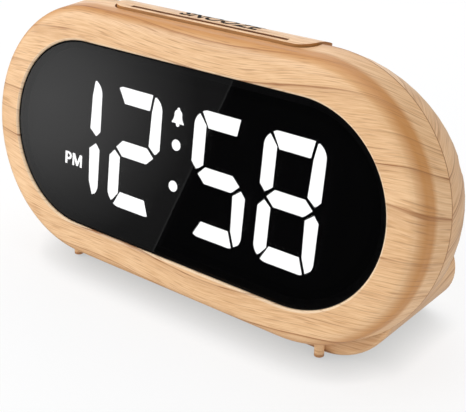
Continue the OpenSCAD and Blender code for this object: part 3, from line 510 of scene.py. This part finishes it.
def plated_steel():
    return metal_material("plated steel", (0.62, 0.61, 0.58), 0.28)


def lit_diffuser(settings):
    return glow_material("lit diffuser", settings.glow, settings.strength)


# Mesh helpers

def link(mesh, name):
    made = bpy.data.objects.new(name, mesh)
    bpy.context.scene.collection.objects.link(made)
    return made


def body_of_node(node):
    return frame["nodes"][node]["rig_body"]


def to_mesh(work, name):
    """A new mesh from a bmesh, which is freed."""
    mesh = bpy.data.meshes.new(name)
    work.to_mesh(mesh)
    work.free()
    return mesh


def grid_mesh(name, segments, half):
    work = bmesh.new()
    bmesh.ops.create_grid(work, x_segments=segments, y_segments=segments, size=half)
    return to_mesh(work, name)


def thicken(work, step):
    """Extrudes all faces of a bmesh by a vector."""
    made = bmesh.ops.extrude_face_region(work, geom=work.faces[:])
    bmesh.ops.translate(work, verts=[v for v in made["geom"] if isinstance(v, bmesh.types.BMVert)], vec=step)


def finish_mesh(mesh, material):
    """One finish all over a mesh."""
    mesh.materials.clear()
    mesh.materials.append(material)


def finish_node(node, material):
    """A new finish on a CAD node that keeps its own mesh."""
    finish_mesh(node_mesh(node), material)


def smooth_mesh(mesh):
    """Welds a mesh, shades it smooth and keeps its sharp edges."""
    work = bmesh.new()
    work.from_mesh(mesh)
    bmesh.ops.remove_doubles(work, verts=work.verts, dist=WELD)
    for face in work.faces:
        face.smooth = True
    for edge in work.edges:
        edge.smooth = len(edge.link_faces) == 2 and edge.calc_face_angle(0.0) < math.radians(SHARP)
    work.to_mesh(mesh)
    work.free()
    if "custom_normal" in mesh.attributes:
        mesh.attributes.remove(mesh.attributes["custom_normal"])


def dress(node, material, others=()):
    """A smooth-shaded copy of a CAD node in its final finish, standing for the node.

    Others are pairs of a material and a test of a face and its corners. Faces that pass it get
    the material."""
    mesh = node_mesh(node).copy()
    smooth_mesh(mesh)
    mesh.materials.clear()
    for finish in (material, *(other for other, _ in others)):
        mesh.materials.append(finish)
    for face in mesh.polygons:
        corners = [from_face(mesh.vertices[i].co) for i in face.vertices] if others else None
        face.material_index = next((i + 1 for i, (_, where) in enumerate(others) if where(face, corners)), 0)
    made = link(mesh, node + "_dressed")
    even = made.modifiers.new("even faces", "WEIGHTED_NORMAL")
    even.keep_sharp = True
    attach(made, body_of_node(node))
    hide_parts(node)
    return made


def flat_piece(name, outlines, thickness, place):
    """A thin plate from closed outlines in millimetres; place(x, up, out) gives points in the row frame."""
    work = bmesh.new()
    for outline in outlines:
        work.faces.new([work.verts.new((x, y, 0.0)) for x, y in outline])
    work.normal_update()
    bmesh.ops.triangulate(work, faces=work.faces)
    thicken(work, (0, 0, thickness))
    for v in work.verts:
        v.co = place(*v.co)
    bmesh.ops.recalc_face_normals(work, faces=work.faces)
    return link(to_mesh(work, name), name)


def letters_mesh(name, words, height):
    """Letters as a flat mesh in millimetres, centred, with the given cap height."""
    curve = bpy.data.curves.new(name, "FONT")
    curve.body = words
    curve.align_x = "CENTER"
    curve.align_y = "CENTER"
    curve.size = height / CAP_SHARE
    curve.offset = WORD_BOLD
    curve.space_character = WORD_SPACING
    curve.resolution_u = 4
    temporary = link(curve, name + "_curve")
    bpy.context.view_layer.update()
    graph = bpy.context.evaluated_depsgraph_get()
    mesh = bpy.data.meshes.new_from_object(temporary.evaluated_get(graph))
    bpy.data.objects.remove(temporary)
    bpy.data.curves.remove(curve)
    mesh.name = name
    ups = [v.co.y for v in mesh.vertices]
    sides = [v.co.x for v in mesh.vertices]
    middle = Vector(((min(sides) + max(sides)) / 2, (min(ups) + max(ups)) / 2, 0))
    for v in mesh.vertices:
        v.co -= middle
    return mesh


# Settings

class DeskClockCaseSettings(bpy.types.PropertyGroup):
    light: FloatVectorProperty(
        name="Light grain", description="Lightest tone of the wood film", subtype="COLOR", size=3,
        min=0, max=1, default=(0.93, 0.620, 0.355))
    dark: FloatVectorProperty(
        name="Dark grain", description="Tone between the fibres", subtype="COLOR", size=3,
        min=0, max=1, default=(0.73, 0.420, 0.198))
    # Also the tone of the painted shade under a shell and at its lowest end and of the dark seam line, and, in
    # shares, of the painted shade in the snooze bar's groove.
    streak: FloatVectorProperty(
        name="Streaks", description="Tone of the growth rings", subtype="COLOR", size=3,
        min=0, max=1, default=(0.36, 0.140, 0.045))
    # Painted shade: this tone is painted as a band along the round of the front edge, and, darkened, on the
    # walls of the snooze bar and of its opening.
    edge: FloatVectorProperty(
        name="Edge", description="Tone of the stretched film at the front edge", subtype="COLOR", size=3,
        min=0, max=1, default=(0.60, 0.26, 0.065))
    streak_strength: FloatProperty(
        name="Streak strength", description="How strongly the growth rings show", subtype="FACTOR",
        min=0, max=1, default=0.85)
    gloss: FloatProperty(
        name="Gloss", description="Weight of the clear coat over the film", subtype="FACTOR",
        min=0, max=1, default=0.08)


class DeskClockDisplaySettings(bpy.types.PropertyGroup):
    glow: FloatVectorProperty(
        name="Digit colour", description="Light of the lit segments", subtype="COLOR", size=3,
        min=0, max=1, default=(1.0, 1.0, 1.0))
    strength: FloatProperty(
        name="Digit strength", description="Brightness of the lit segments",
        min=0, max=50, default=12.5)
    smoke: FloatProperty(
        name="Lens smoke", description="Share of the light that the lens holds back", subtype="FACTOR",
        min=0, max=1, default=0.7)
    pm_height: FloatProperty(
        name="PM height", description="Height of the PM letters, in millimetres",
        min=1, max=6, default=3.7)
    bell_height: FloatProperty(
        name="Bell height", description="Height of the alarm mark, in millimetres",
        min=1, max=8, default=5.2)


class DeskClockBarSettings(bpy.types.PropertyGroup):
    words: StringProperty(
        name="Print", description="Word printed on the bar", default="SNOOZE")
    length: FloatProperty(
        name="Print length", description="Length of the printed word, in millimetres",
        min=5, max=60, default=26.0)
    height: FloatProperty(
        name="Print height", description="Height of the printed letters, in millimetres",
        min=1, max=10, default=5.2)
    across: FloatProperty(
        name="Print across", description="Place of the word from the bar's middle, in millimetres",
        min=-30, max=30, default=1.8)
    behind: FloatProperty(
        name="Print behind", description="Distance of the word behind the bar's middle, in millimetres",
        min=-6, max=6, default=0.9)
    ink: FloatVectorProperty(
        name="Ink", description="Colour of the print", subtype="COLOR", size=3,
        min=0, max=1, default=(0.012, 0.010, 0.009))


class DeskClockStageSettings(bpy.types.PropertyGroup):
    floor: FloatVectorProperty(
        name="Floor", description="Colour of the floor", subtype="COLOR", size=3,
        min=0, max=1, default=(0.16, 0.163, 0.168))
    floor_light: FloatVectorProperty(
        name="Floor light", description="Light that comes through the floor from below", subtype="COLOR",
        size=3, min=0, max=5, default=(0.80, 0.80, 0.80))
    # Painted shadow: the floor's glow is dimmed to this colour where the clock is near.
    floor_shade: FloatVectorProperty(
        name="Floor shade", description="What is left of that light under the clock", subtype="COLOR",
        size=3, min=0, max=5, default=(0.43, 0.455, 0.465))
    sky: FloatProperty(
        name="Fill light", description="Strength of the even light from all round",
        min=0, max=5, default=0.4)
    key: FloatProperty(
        name="Studio light", description="Power that each studio light has a share of", unit="POWER",
        min=0, max=200, default=9.0)
    card: FloatProperty(
        name="Card light", description="Brightness of the card that the lens reflects",
        min=0, max=20, default=1.45)
    eye: FloatVectorProperty(
        name="Camera", description="Place of the camera", subtype="XYZ", size=3, unit="LENGTH",
        default=(0.16585, -0.20338, 0.14668))
    focal: FloatProperty(
        name="Focal length", description="Focal length on a 36 mm wide sensor, in millimetres",
        min=20, max=200, default=77.32)


# Pieces

class DESKCLOCK_OT_case(bpy.types.Operator):
    """Both shells of the case, the cell's door and the pads"""
    bl_idname = "desk_clock.case"
    bl_label = "Case"

    def execute(self, context):
        settings = context.scene.desk_clock_case
        edge = wall_shade_wood(settings)
        # Where the opening lies: between its ends, above the display and behind the frame's front edge.
        opening_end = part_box("snooze_button")[1].x / MM + 1.5
        opening_low, opening_front = 33, -3.5

        def in_opening(face, corners):
            """True for the walls of the snooze bar's opening."""
            return (abs(face.normal.dot(UP)) < 0.5
                    and all(abs(x) < opening_end and up > opening_low and out < opening_front
                            for x, up, out in corners))

        # The walls of the snooze bar's opening get darker film: painted shade.
        for node, film in (("front_shell", front_wood(settings)), ("rear_shell", rear_wood(settings))):
            dress(node, film, others=[(edge, in_opening)])
        dress("battery_door", rear_wood(settings))
        rubber = plastic_material("pad rubber", (0.03, 0.03, 0.032), 0.75, grain=900.0, contrast=0.3)
        dress("foot_pads", rubber)
        return {"FINISHED"}


class DESKCLOCK_OT_lens(bpy.types.Operator):
    """The smoked lens, its printed border, the black rim painted as shade at its edge, and the adhesive ring
    behind it
    """
    bl_idname = "desk_clock.lens"
    bl_label = "Lens"

    def execute(self, context):
        material, tree, shader = new_material("smoked lens")
        haze = tree.ramp(tree.noise(tree.place(), 90.0), (0.3, 0.0), (0.7, 0.02))
        tree.feed(shader.inputs["Roughness"], haze)
        set_sockets(shader, {"Base Color": (0.002, 0.002, 0.0022, 1), "IOR": 1.5,
                             "Alpha": context.scene.desk_clock_display.smoke})
        dress("display_lens", material)
        self.border()
        finish_node("lens_tape", plastic_material("lens tape", (0.008, 0.008, 0.009), 0.6))
        return {"FINISHED"}

    def border(self):
        """The black border printed on the lens's back, inside the adhesive ring, and the black rim on its front,
        painted as shade along the lens's edge.
        """
        thick = max(-out for x, up, out in node_points("display_lens"))
        tape = min(math.hypot(max(abs(x) - SPINE / MM, 0), up) for x, up, out in node_points("lens_tape"))
        outer = tape - TAPE_GAP
        self.ring("lens_border", outer - BORDER_WIDTH, outer, -thick - BORDER_BEHIND)
        # Painted shade: a black ring on the lens's front, along its edge.
        outer = LENS_RADIUS / MM - RIM_IN
        self.ring("lens_rim_shade", outer - RIM_WIDTH, outer, RIM_LIFT)

    def ring(self, name, inner, outer, out):
        """A thin black ring along the lens's outline, between two distances from the lens's middle line."""
        steps = 48
        work = bmesh.new()
        rings = []
        for radius in (inner, outer):
            ring = []
            for side in (1, -1):
                for i in range(steps + 1):
                    a = math.radians(180 * i / steps - 90 * side)
                    x = side * SPINE / MM + radius * math.cos(a)
                    ring.append(work.verts.new(on_face(x, radius * math.sin(a), out)))
            rings.append(ring)
        for i in range(len(rings[0])):
            j = (i + 1) % len(rings[0])
            work.faces.new((rings[0][i], rings[0][j], rings[1][j], rings[1][i]))
        thicken(work, OUT * (RING_THICK * MM))
        bmesh.ops.recalc_face_normals(work, faces=work.faces)
        mesh = to_mesh(work, name)
        mesh.materials.append(ink_material("border print", (0.003, 0.003, 0.0032)))
        piece = link(mesh, name)
        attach(piece, "case")


class DESKCLOCK_OT_display(bpy.types.Operator):
    """The reflector and the lit and dark diffusers behind the lens"""
    bl_idname = "desk_clock.display"
    bl_label = "Display"

    def execute(self, context):
        lit = lit_diffuser(context.scene.desk_clock_display)
        dark = plastic_material("dark diffuser", (0.004, 0.004, 0.0045), 0.6)
        self.shorten(dress("lit_segments", lit).data)
        dress("colon_dots", lit)
        for node in ("unlit_segments", "indicator_windows"):
            finish_node(node, dark)
        finish_node("led_reflector", plastic_material("reflector black", (0.004, 0.004, 0.0045), 0.7))
        return {"FINISHED"}

    def shorten(self, mesh):
        """Takes the dark end off both ends of each lit segment."""
        work = bmesh.new()
        work.from_mesh(mesh)
        left = set(work.verts)
        while left:
            segment, reached = set(), [left.pop()]
            while reached:
                v = reached.pop()
                segment.add(v)
                near = {e.other_vert(v) for e in v.link_edges} & left
                left -= near
                reached.extend(near)
            spans = []
            for axis in (ACROSS, UP):
                places = [v.co.dot(axis) for v in segment]
                spans.append((max(places) - min(places), (max(places) + min(places)) / 2, axis))
            length, middle, axis = max(spans, key=lambda span: span[0])
            shrink = 2 * DARK_END * MM / length
            for v in segment:
                v.co -= axis * ((v.co.dot(axis) - middle) * shrink)
        work.to_mesh(mesh)
        work.free()


class DESKCLOCK_OT_marks(bpy.types.Operator):
    """The alarm bell and the PM letters that glow in their windows"""
    bl_idname = "desk_clock.marks"
    bl_label = "Marks"

    def execute(self, context):
        settings = context.scene.desk_clock_display
        lit = lit_diffuser(settings)
        windows = node_points("indicator_windows")
        pm_window = [point for point in windows if point[1] <= 0]
        bell_window = [point for point in windows if point[1] > 0]
        self.mark("pm_mark", self.pm(), settings.pm_height, pm_window, lit)
        self.mark("bell_mark", [self.bell()], settings.bell_height, bell_window, lit)
        return {"FINISHED"}

    def mark(self, name, outlines, height, window, lit):
        """A thin plate on a window's front, from outlines that are one unit high."""
        middle_x, middle_up = ((min(p[i] for p in window) + max(p[i] for p in window)) / 2 for i in (0, 1))
        front = max(p[2] for p in window)
        outlines = [[(x * height, (y - 0.5) * height) for x, y in outline] for outline in outlines]
        piece = flat_piece(name, outlines, MARK_THICK,
                           lambda x, up, out: on_face(middle_x + x, middle_up + up, front + out))
        finish_mesh(piece.data, lit)
        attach(piece, "case")

    def pm(self):
        """The letters P and M, in strokes."""
        steps, bowl_up = 10, 0.68
        turns = [math.radians(180 * i / steps - 90) for i in range(steps + 1)]

        def bow(x, radius, angles):
            return [(x + radius * math.cos(a), bowl_up + radius * math.sin(a)) for a in angles]

        stem = [(0.0, 0.0), (0.22, 0.0), (0.22, 1.0), (0.0, 1.0)]
        bowl = [(0.22, 0.36), *bow(0.38, 0.32, turns), (0.22, 1.0),
                (0.22, 0.84), *bow(0.36, 0.15, reversed(turns)), (0.22, 0.52)]
        m = [(0.0, 0.0), (0.18, 0.0), (0.18, 0.66), (0.43, 0.05), (0.61, 0.05), (0.86, 0.66), (0.86, 0.0),
             (1.04, 0.0), (1.04, 1.0), (0.80, 1.0), (0.52, 0.34), (0.24, 1.0), (0.0, 1.0)]
        m_start, half_length = 0.83, 0.93
        m = [(x + m_start, y) for x, y in m]
        return [[(x - half_length, y) for x, y in outline] for outline in (stem, bowl, m)]

    def bell(self):
        """A bell outline: a knob, a dome that flares to its rim, and a clapper."""
        dome, dome_up = 0.25, 0.65
        flare, fall, rim_up = 0.15, 0.43, 0.17
        clapper, clapper_up = 0.11, 0.12
        half = [(0.0, 1.0), (0.05, 0.99), (0.085, 0.95), (0.085, 0.91)]
        for i in range(10):
            a = math.radians(15 + 75 * i / 9)
            half.append((dome * math.sin(a), dome_up + dome * math.cos(a)))
        for i in range(1, 8):
            t = i / 7
            half.append((dome + flare * t ** 2.2, dome_up - fall * t))
        half += [(dome + flare, rim_up), (clapper, rim_up)]
        for i in range(1, 7):
            a = math.radians(90 * i / 6)
            half.append((clapper * math.cos(a), clapper_up - clapper_up * math.sin(a)))
        half[-1] = (0.0, 0.0)
        return half + [(-x, y) for x, y in reversed(half) if x > 0]


class DESKCLOCK_OT_snooze_bar(bpy.types.Operator):
    """The snooze bar with its printed word, which follows the bar's crown"""
    bl_idname = "desk_clock.snooze_bar"
    bl_label = "Snooze bar"

    def execute(self, context):
        case = context.scene.desk_clock_case
        points = node_points("snooze_button")
        front = min(-out for x, up, out in points)
        edge_up = max(up for x, up, out in points if -out < front + 0.01)
        # Where the groove lies: behind the bar's front, above its inside and off its ends.
        groove_front, groove_back, groove_low = 0.8, 2.4, 36
        groove_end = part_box("snooze_button")[1].x / MM - 6

        def in_groove(face, corners):
            """True for the groove along the bar's top."""
            inside = all(groove_front < -out - front < groove_back and abs(x) < groove_end
                         for x, up, out in corners)
            return inside and groove_low < min(up for x, up, out in corners) < edge_up

        def on_wall(face, corners):
            """True for the bar's walls."""
            return abs(face.normal.dot(UP)) < 0.5

        film = wood_material("wood film bar", wood_tones(case), case, Shift=0.31)
        # The bar's groove and walls get darker film: painted shade.
        bar = dress("snooze_button", film,
                    others=[(groove_shade_wood(case), in_groove), (wall_shade_wood(case), on_wall)])
        self.word(context.scene.desk_clock_bar, bar.data)
        return {"FINISHED"}

    def word(self, settings, bar):
        """The printed word, cut into strips and laid on the bar's crown."""
        low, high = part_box("snooze_button")
        middle = (low + high) / 2
        mesh = letters_mesh("snooze_print", settings.words, settings.height)
        sides = [v.co.x for v in mesh.vertices]
        stretch = settings.length / (max(sides) - min(sides))
        for v in mesh.vertices:
            v.co.x *= stretch
        work = bmesh.new()
        work.from_mesh(mesh)
        cuts = int(settings.height / PRINT_CUTS)
        for i in range(1, cuts):
            bmesh.ops.bisect_plane(work, geom=work.verts[:] + work.edges[:] + work.faces[:],
                                   plane_co=(0, settings.height * (i / cuts - 0.5), 0), plane_no=(0, 1, 0))
        top = BVHTree.FromPolygons([v.co for v in bar.vertices], [p.vertices for p in bar.polygons])
        for v in work.verts:
            start = Vector(((v.co.x + settings.across) * MM, middle.y + (v.co.y + settings.behind) * MM,
                            high.z + 10 * MM))
            spot, normal = top.ray_cast(start, -UP)[:2]
            if spot is None:
                raise RuntimeError("the printed word runs off the snooze bar")
            v.co = spot + normal * (PRINT_LIFT * MM)
        bmesh.ops.recalc_face_normals(work, faces=work.faces)
        if sum(f.normal.dot(UP) for f in work.faces) < 0:
            bmesh.ops.reverse_faces(work, faces=work.faces)
        work.to_mesh(mesh)
        work.free()
        printed = link(mesh, "snooze_print")
        finish_mesh(mesh, ink_material("print ink", settings.ink))
        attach(printed, body_of_node("snooze_button"))


class DESKCLOCK_OT_controls(bpy.types.Operator):
    """Keys, alarm lever, dimmer wheel, power inlet and screws on the back"""
    bl_idname = "desk_clock.controls"
    bl_label = "Back controls"

    def execute(self, context):
        wood = rear_wood(context.scene.desk_clock_case)
        for key in ("time", "alarm", "hour", "minute"):
            dress(key + "_button", wood)
            dress(key + "_plunger", plated_steel())
        for node in ("alarm_knob", "dimmer_wheel"):
            dress(node, black_plastic())
        for node in ("usb_inlet", "housing_screws", "door_screw"):
            dress(node, plated_steel())
        return {"FINISHED"}


class DESKCLOCK_OT_inside(bpy.types.Operator):
    """Boards, switches, cell and wires inside the case"""
    bl_idname = "desk_clock.inside"
    bl_label = "Inside"

    def execute(self, context):
        board = plastic_material("solder mask", (0.015, 0.085, 0.04), 0.35, grain=700.0, contrast=0.25)
        ivory = plastic_material("ivory plastic", (0.80, 0.79, 0.74), 0.5)
        wire = plastic_material("wire sleeve", (0.42, 0.02, 0.02), 0.5)
        finishes = {
            board: ("display_pcb", "key_pcb", "dimmer_pot"),
            black_plastic(): ("driver_chip", "snooze_switch", "key_switches", "buzzer"),
            ivory: ("segment_leds", "ribbon_headers", "ribbon_cable"),
            wire: ("cell_leads",),
            plated_steel(): ("crystal", "pcb_screws", "key_screws", "snooze_plunger", "alarm_switch",
                             "backup_cell", "cell_contacts"),
        }
        for material, nodes in finishes.items():
            for node in nodes:
                finish_node(node, material)
        return {"FINISHED"}


class DESKCLOCK_OT_stage(bpy.types.Operator):
    """Floor, studio lights, the card that the lens reflects, and the camera"""
    bl_idname = "desk_clock.stage"
    bl_label = "Stage"

    def execute(self, context):
        settings = context.scene.desk_clock_stage
        context.scene.view_settings.view_transform = "Standard"
        self.floor(settings)
        self.world(context, settings)
        for name, share, size, place in STUDIO_LIGHTS:
            self.panel(name, settings.key * share, size, Vector(place))
        self.reflection_card(settings)
        self.camera(context, settings)
        return {"FINISHED"}

    def floor(self, settings):
        """A pale floor that is lit from below, with a painted shadow under the clock: its glow is dimmed where
        the clock is near.
        """
        mesh = grid_mesh("floor", 8, FLOOR_HALF)
        floor = link(mesh, "floor")
        values = {"Color": (*settings.floor, 1), "Grain": 400.0, "Contrast": 0.02, "Roughness": 0.85}
        material, shader = with_group("floor sheet", moulded_group(), values, bump=0.05, depth=0.00002)
        tree = Tree(material.node_tree)
        # Painted shadow: the floor's glow fades to the shade colour where the clock is near.
        shade = tree.add("ShaderNodeAmbientOcclusion", {"samples": 16}, Distance=SHADE_REACH)
        open_share = tree.ramp(shade.outputs["AO"], (0.0, 0.0), (0.93, 1.0))
        tree.feed(shader.inputs["Emission Color"],
                  tree.mix(open_share, (*settings.floor_shade, 1), (*settings.floor_light, 1)))
        set_sockets(shader, {"Emission Strength": 1.0})
        mesh.materials.append(material)
        floor.visible_glossy = False

    def world(self, context, settings):
        """Even light from all round, and a background as pale as the floor past the floor's edge."""
        world = bpy.data.worlds.new("studio")
        world.use_nodes = True
        tree = Tree(world.node_tree)
        even = world.node_tree.nodes["Background"]
        set_sockets(even, {"Color": (1, 1, 1, 1), "Strength": settings.sky})
        pale = tree.add("ShaderNodeBackground", Color=(1, 1, 1, 1), Strength=BACKGROUND)
        seen = tree.add("ShaderNodeLightPath").outputs["Is Camera Ray"]
        both = tree.fill(tree.add("ShaderNodeMixShader"), seen, even.outputs[0], pale.outputs[0])
        tree.feed(world.node_tree.nodes["World Output"].inputs["Surface"], both.outputs[0])
        context.scene.world = world

    def panel(self, name, power, size, place):
        light = bpy.data.lights.new(name, "AREA")
        light.energy = power
        light.size = size
        made = link(light, name)
        made.location = place
        made.rotation_euler = (LIT_POINT - place).to_track_quat("-Z", "Y").to_euler()

    def reflection_card(self, settings):
        """A card that only reflections show: it gives the lens a soft sheen that ends at a slanting edge."""
        eye = Vector(settings.eye)
        mirrored = eye - OUT * (2 * (eye - FACE).dot(OUT))
        facing = (FACE - mirrored).normalized()
        centre = FACE + facing * CARD_AWAY

        def behind(x, up):
            """The point of the card's plane that shows at a point of the lens."""
            point = on_face(x, up)
            ray = (point - mirrored).normalized()
            return point + ray * ((centre - point).dot(facing) / ray.dot(facing))

        top, low, glow = behind(*CARD_EDGE_HIGH), behind(*CARD_EDGE_LOW), behind(*CARD_GLOW)
        upward = (top - low).normalized()
        sideways = (glow - low - upward * (glow - low).dot(upward)).normalized()
        mesh = grid_mesh("reflection_card", 2, CARD_HALF)
        card = link(mesh, "reflection_card")
        turn = Matrix((sideways, upward, sideways.cross(upward))).transposed().to_4x4()
        card.matrix_world = Matrix.Translation(low) @ turn
        material, tree, shader = new_material("reflection card")
        place = tree.place()
        from_edge = tree.dot(place, (1, 0, 0))
        lit = tree.math("GREATER_THAN", from_edge, 0.0)
        spot = turn.transposed().to_3x3() @ (glow - low)
        fall = tree.ramp(tree.math("MULTIPLY", tree.distance(place, spot), 1 / GLOW_REACH),
                         (0.0, 1.0), (0.14, 0.85), (0.30, 0.45), (0.46, 0.15), (0.62, 0.11), (1.0, 0.06))
        trim = tree.ramp(tree.math("MULTIPLY", from_edge, 1 / TRIM_REACH),
                         (0.0, 0.16), (0.05, 0.16), (0.09, 0.0))
        fall = tree.mix(1.0, fall, trim, "ADD")
        tree.feed(shader.inputs["Emission Color"], tree.mix(1.0, fall, lit, "MULTIPLY"))
        set_sockets(shader, {"Emission Strength": settings.card, "Base Color": (0, 0, 0, 1),
                             "Specular IOR Level": 0.0})
        mesh.materials.append(material)
        card.visible_camera = card.visible_diffuse = card.visible_shadow = card.visible_transmission = False

    def camera(self, context, settings):
        right = (CAMERA_RIGHT - CAMERA_FORWARD * CAMERA_RIGHT.dot(CAMERA_FORWARD)).normalized()
        up = right.cross(CAMERA_FORWARD)
        lens = bpy.data.cameras.new("camera")
        lens.sensor_width = SENSOR_WIDTH
        lens.lens = settings.focal
        lens.clip_start = 10 * MM
        camera = link(lens, "camera")
        turn = Matrix((right, up, -CAMERA_FORWARD)).transposed().to_4x4()
        camera.matrix_world = Matrix.Translation(Vector(settings.eye)) @ turn
        context.scene.camera = camera


class DESKCLOCK_PT_panel(bpy.types.Panel):
    """Pieces of the desk clock and their settings"""
    bl_idname = "DESKCLOCK_PT_panel"
    bl_label = "Desk clock"
    bl_space_type = "VIEW_3D"
    bl_region_type = "UI"
    bl_category = "Desk clock"

    def draw(self, context):
        for group, title in SETTINGS:
            box = self.layout.box()
            box.label(text=title)
            settings = getattr(context.scene, group)
            for name in settings.__annotations__:
                box.prop(settings, name)
        for operator in PIECES:
            self.layout.operator(operator.bl_idname)


SETTINGS = (("desk_clock_case", "Case"), ("desk_clock_display", "Display"), ("desk_clock_bar", "Snooze bar"),
            ("desk_clock_stage", "Stage"))
GROUPS = (DeskClockCaseSettings, DeskClockDisplaySettings, DeskClockBarSettings, DeskClockStageSettings)
PIECES = (DESKCLOCK_OT_case, DESKCLOCK_OT_lens, DESKCLOCK_OT_display, DESKCLOCK_OT_marks,
          DESKCLOCK_OT_snooze_bar, DESKCLOCK_OT_controls, DESKCLOCK_OT_inside, DESKCLOCK_OT_stage)


def register():
    for cls in (*GROUPS, *PIECES, DESKCLOCK_PT_panel):
        bpy.utils.register_class(cls)
    for (name, _), group in zip(SETTINGS, GROUPS):
        setattr(bpy.types.Scene, name, PointerProperty(type=group))


def unregister():
    for name, _ in SETTINGS:
        delattr(bpy.types.Scene, name)
    for cls in reversed((*GROUPS, *PIECES, DESKCLOCK_PT_panel)):
        bpy.utils.unregister_class(cls)


def main():
    register()
    bpy.ops.desk_clock.case()
    bpy.ops.desk_clock.lens()
    bpy.ops.desk_clock.display()
    bpy.ops.desk_clock.marks()
    bpy.ops.desk_clock.snooze_bar()
    bpy.ops.desk_clock.controls()
    bpy.ops.desk_clock.inside()
    bpy.ops.desk_clock.stage()


if __name__ == "__main__":
    main()
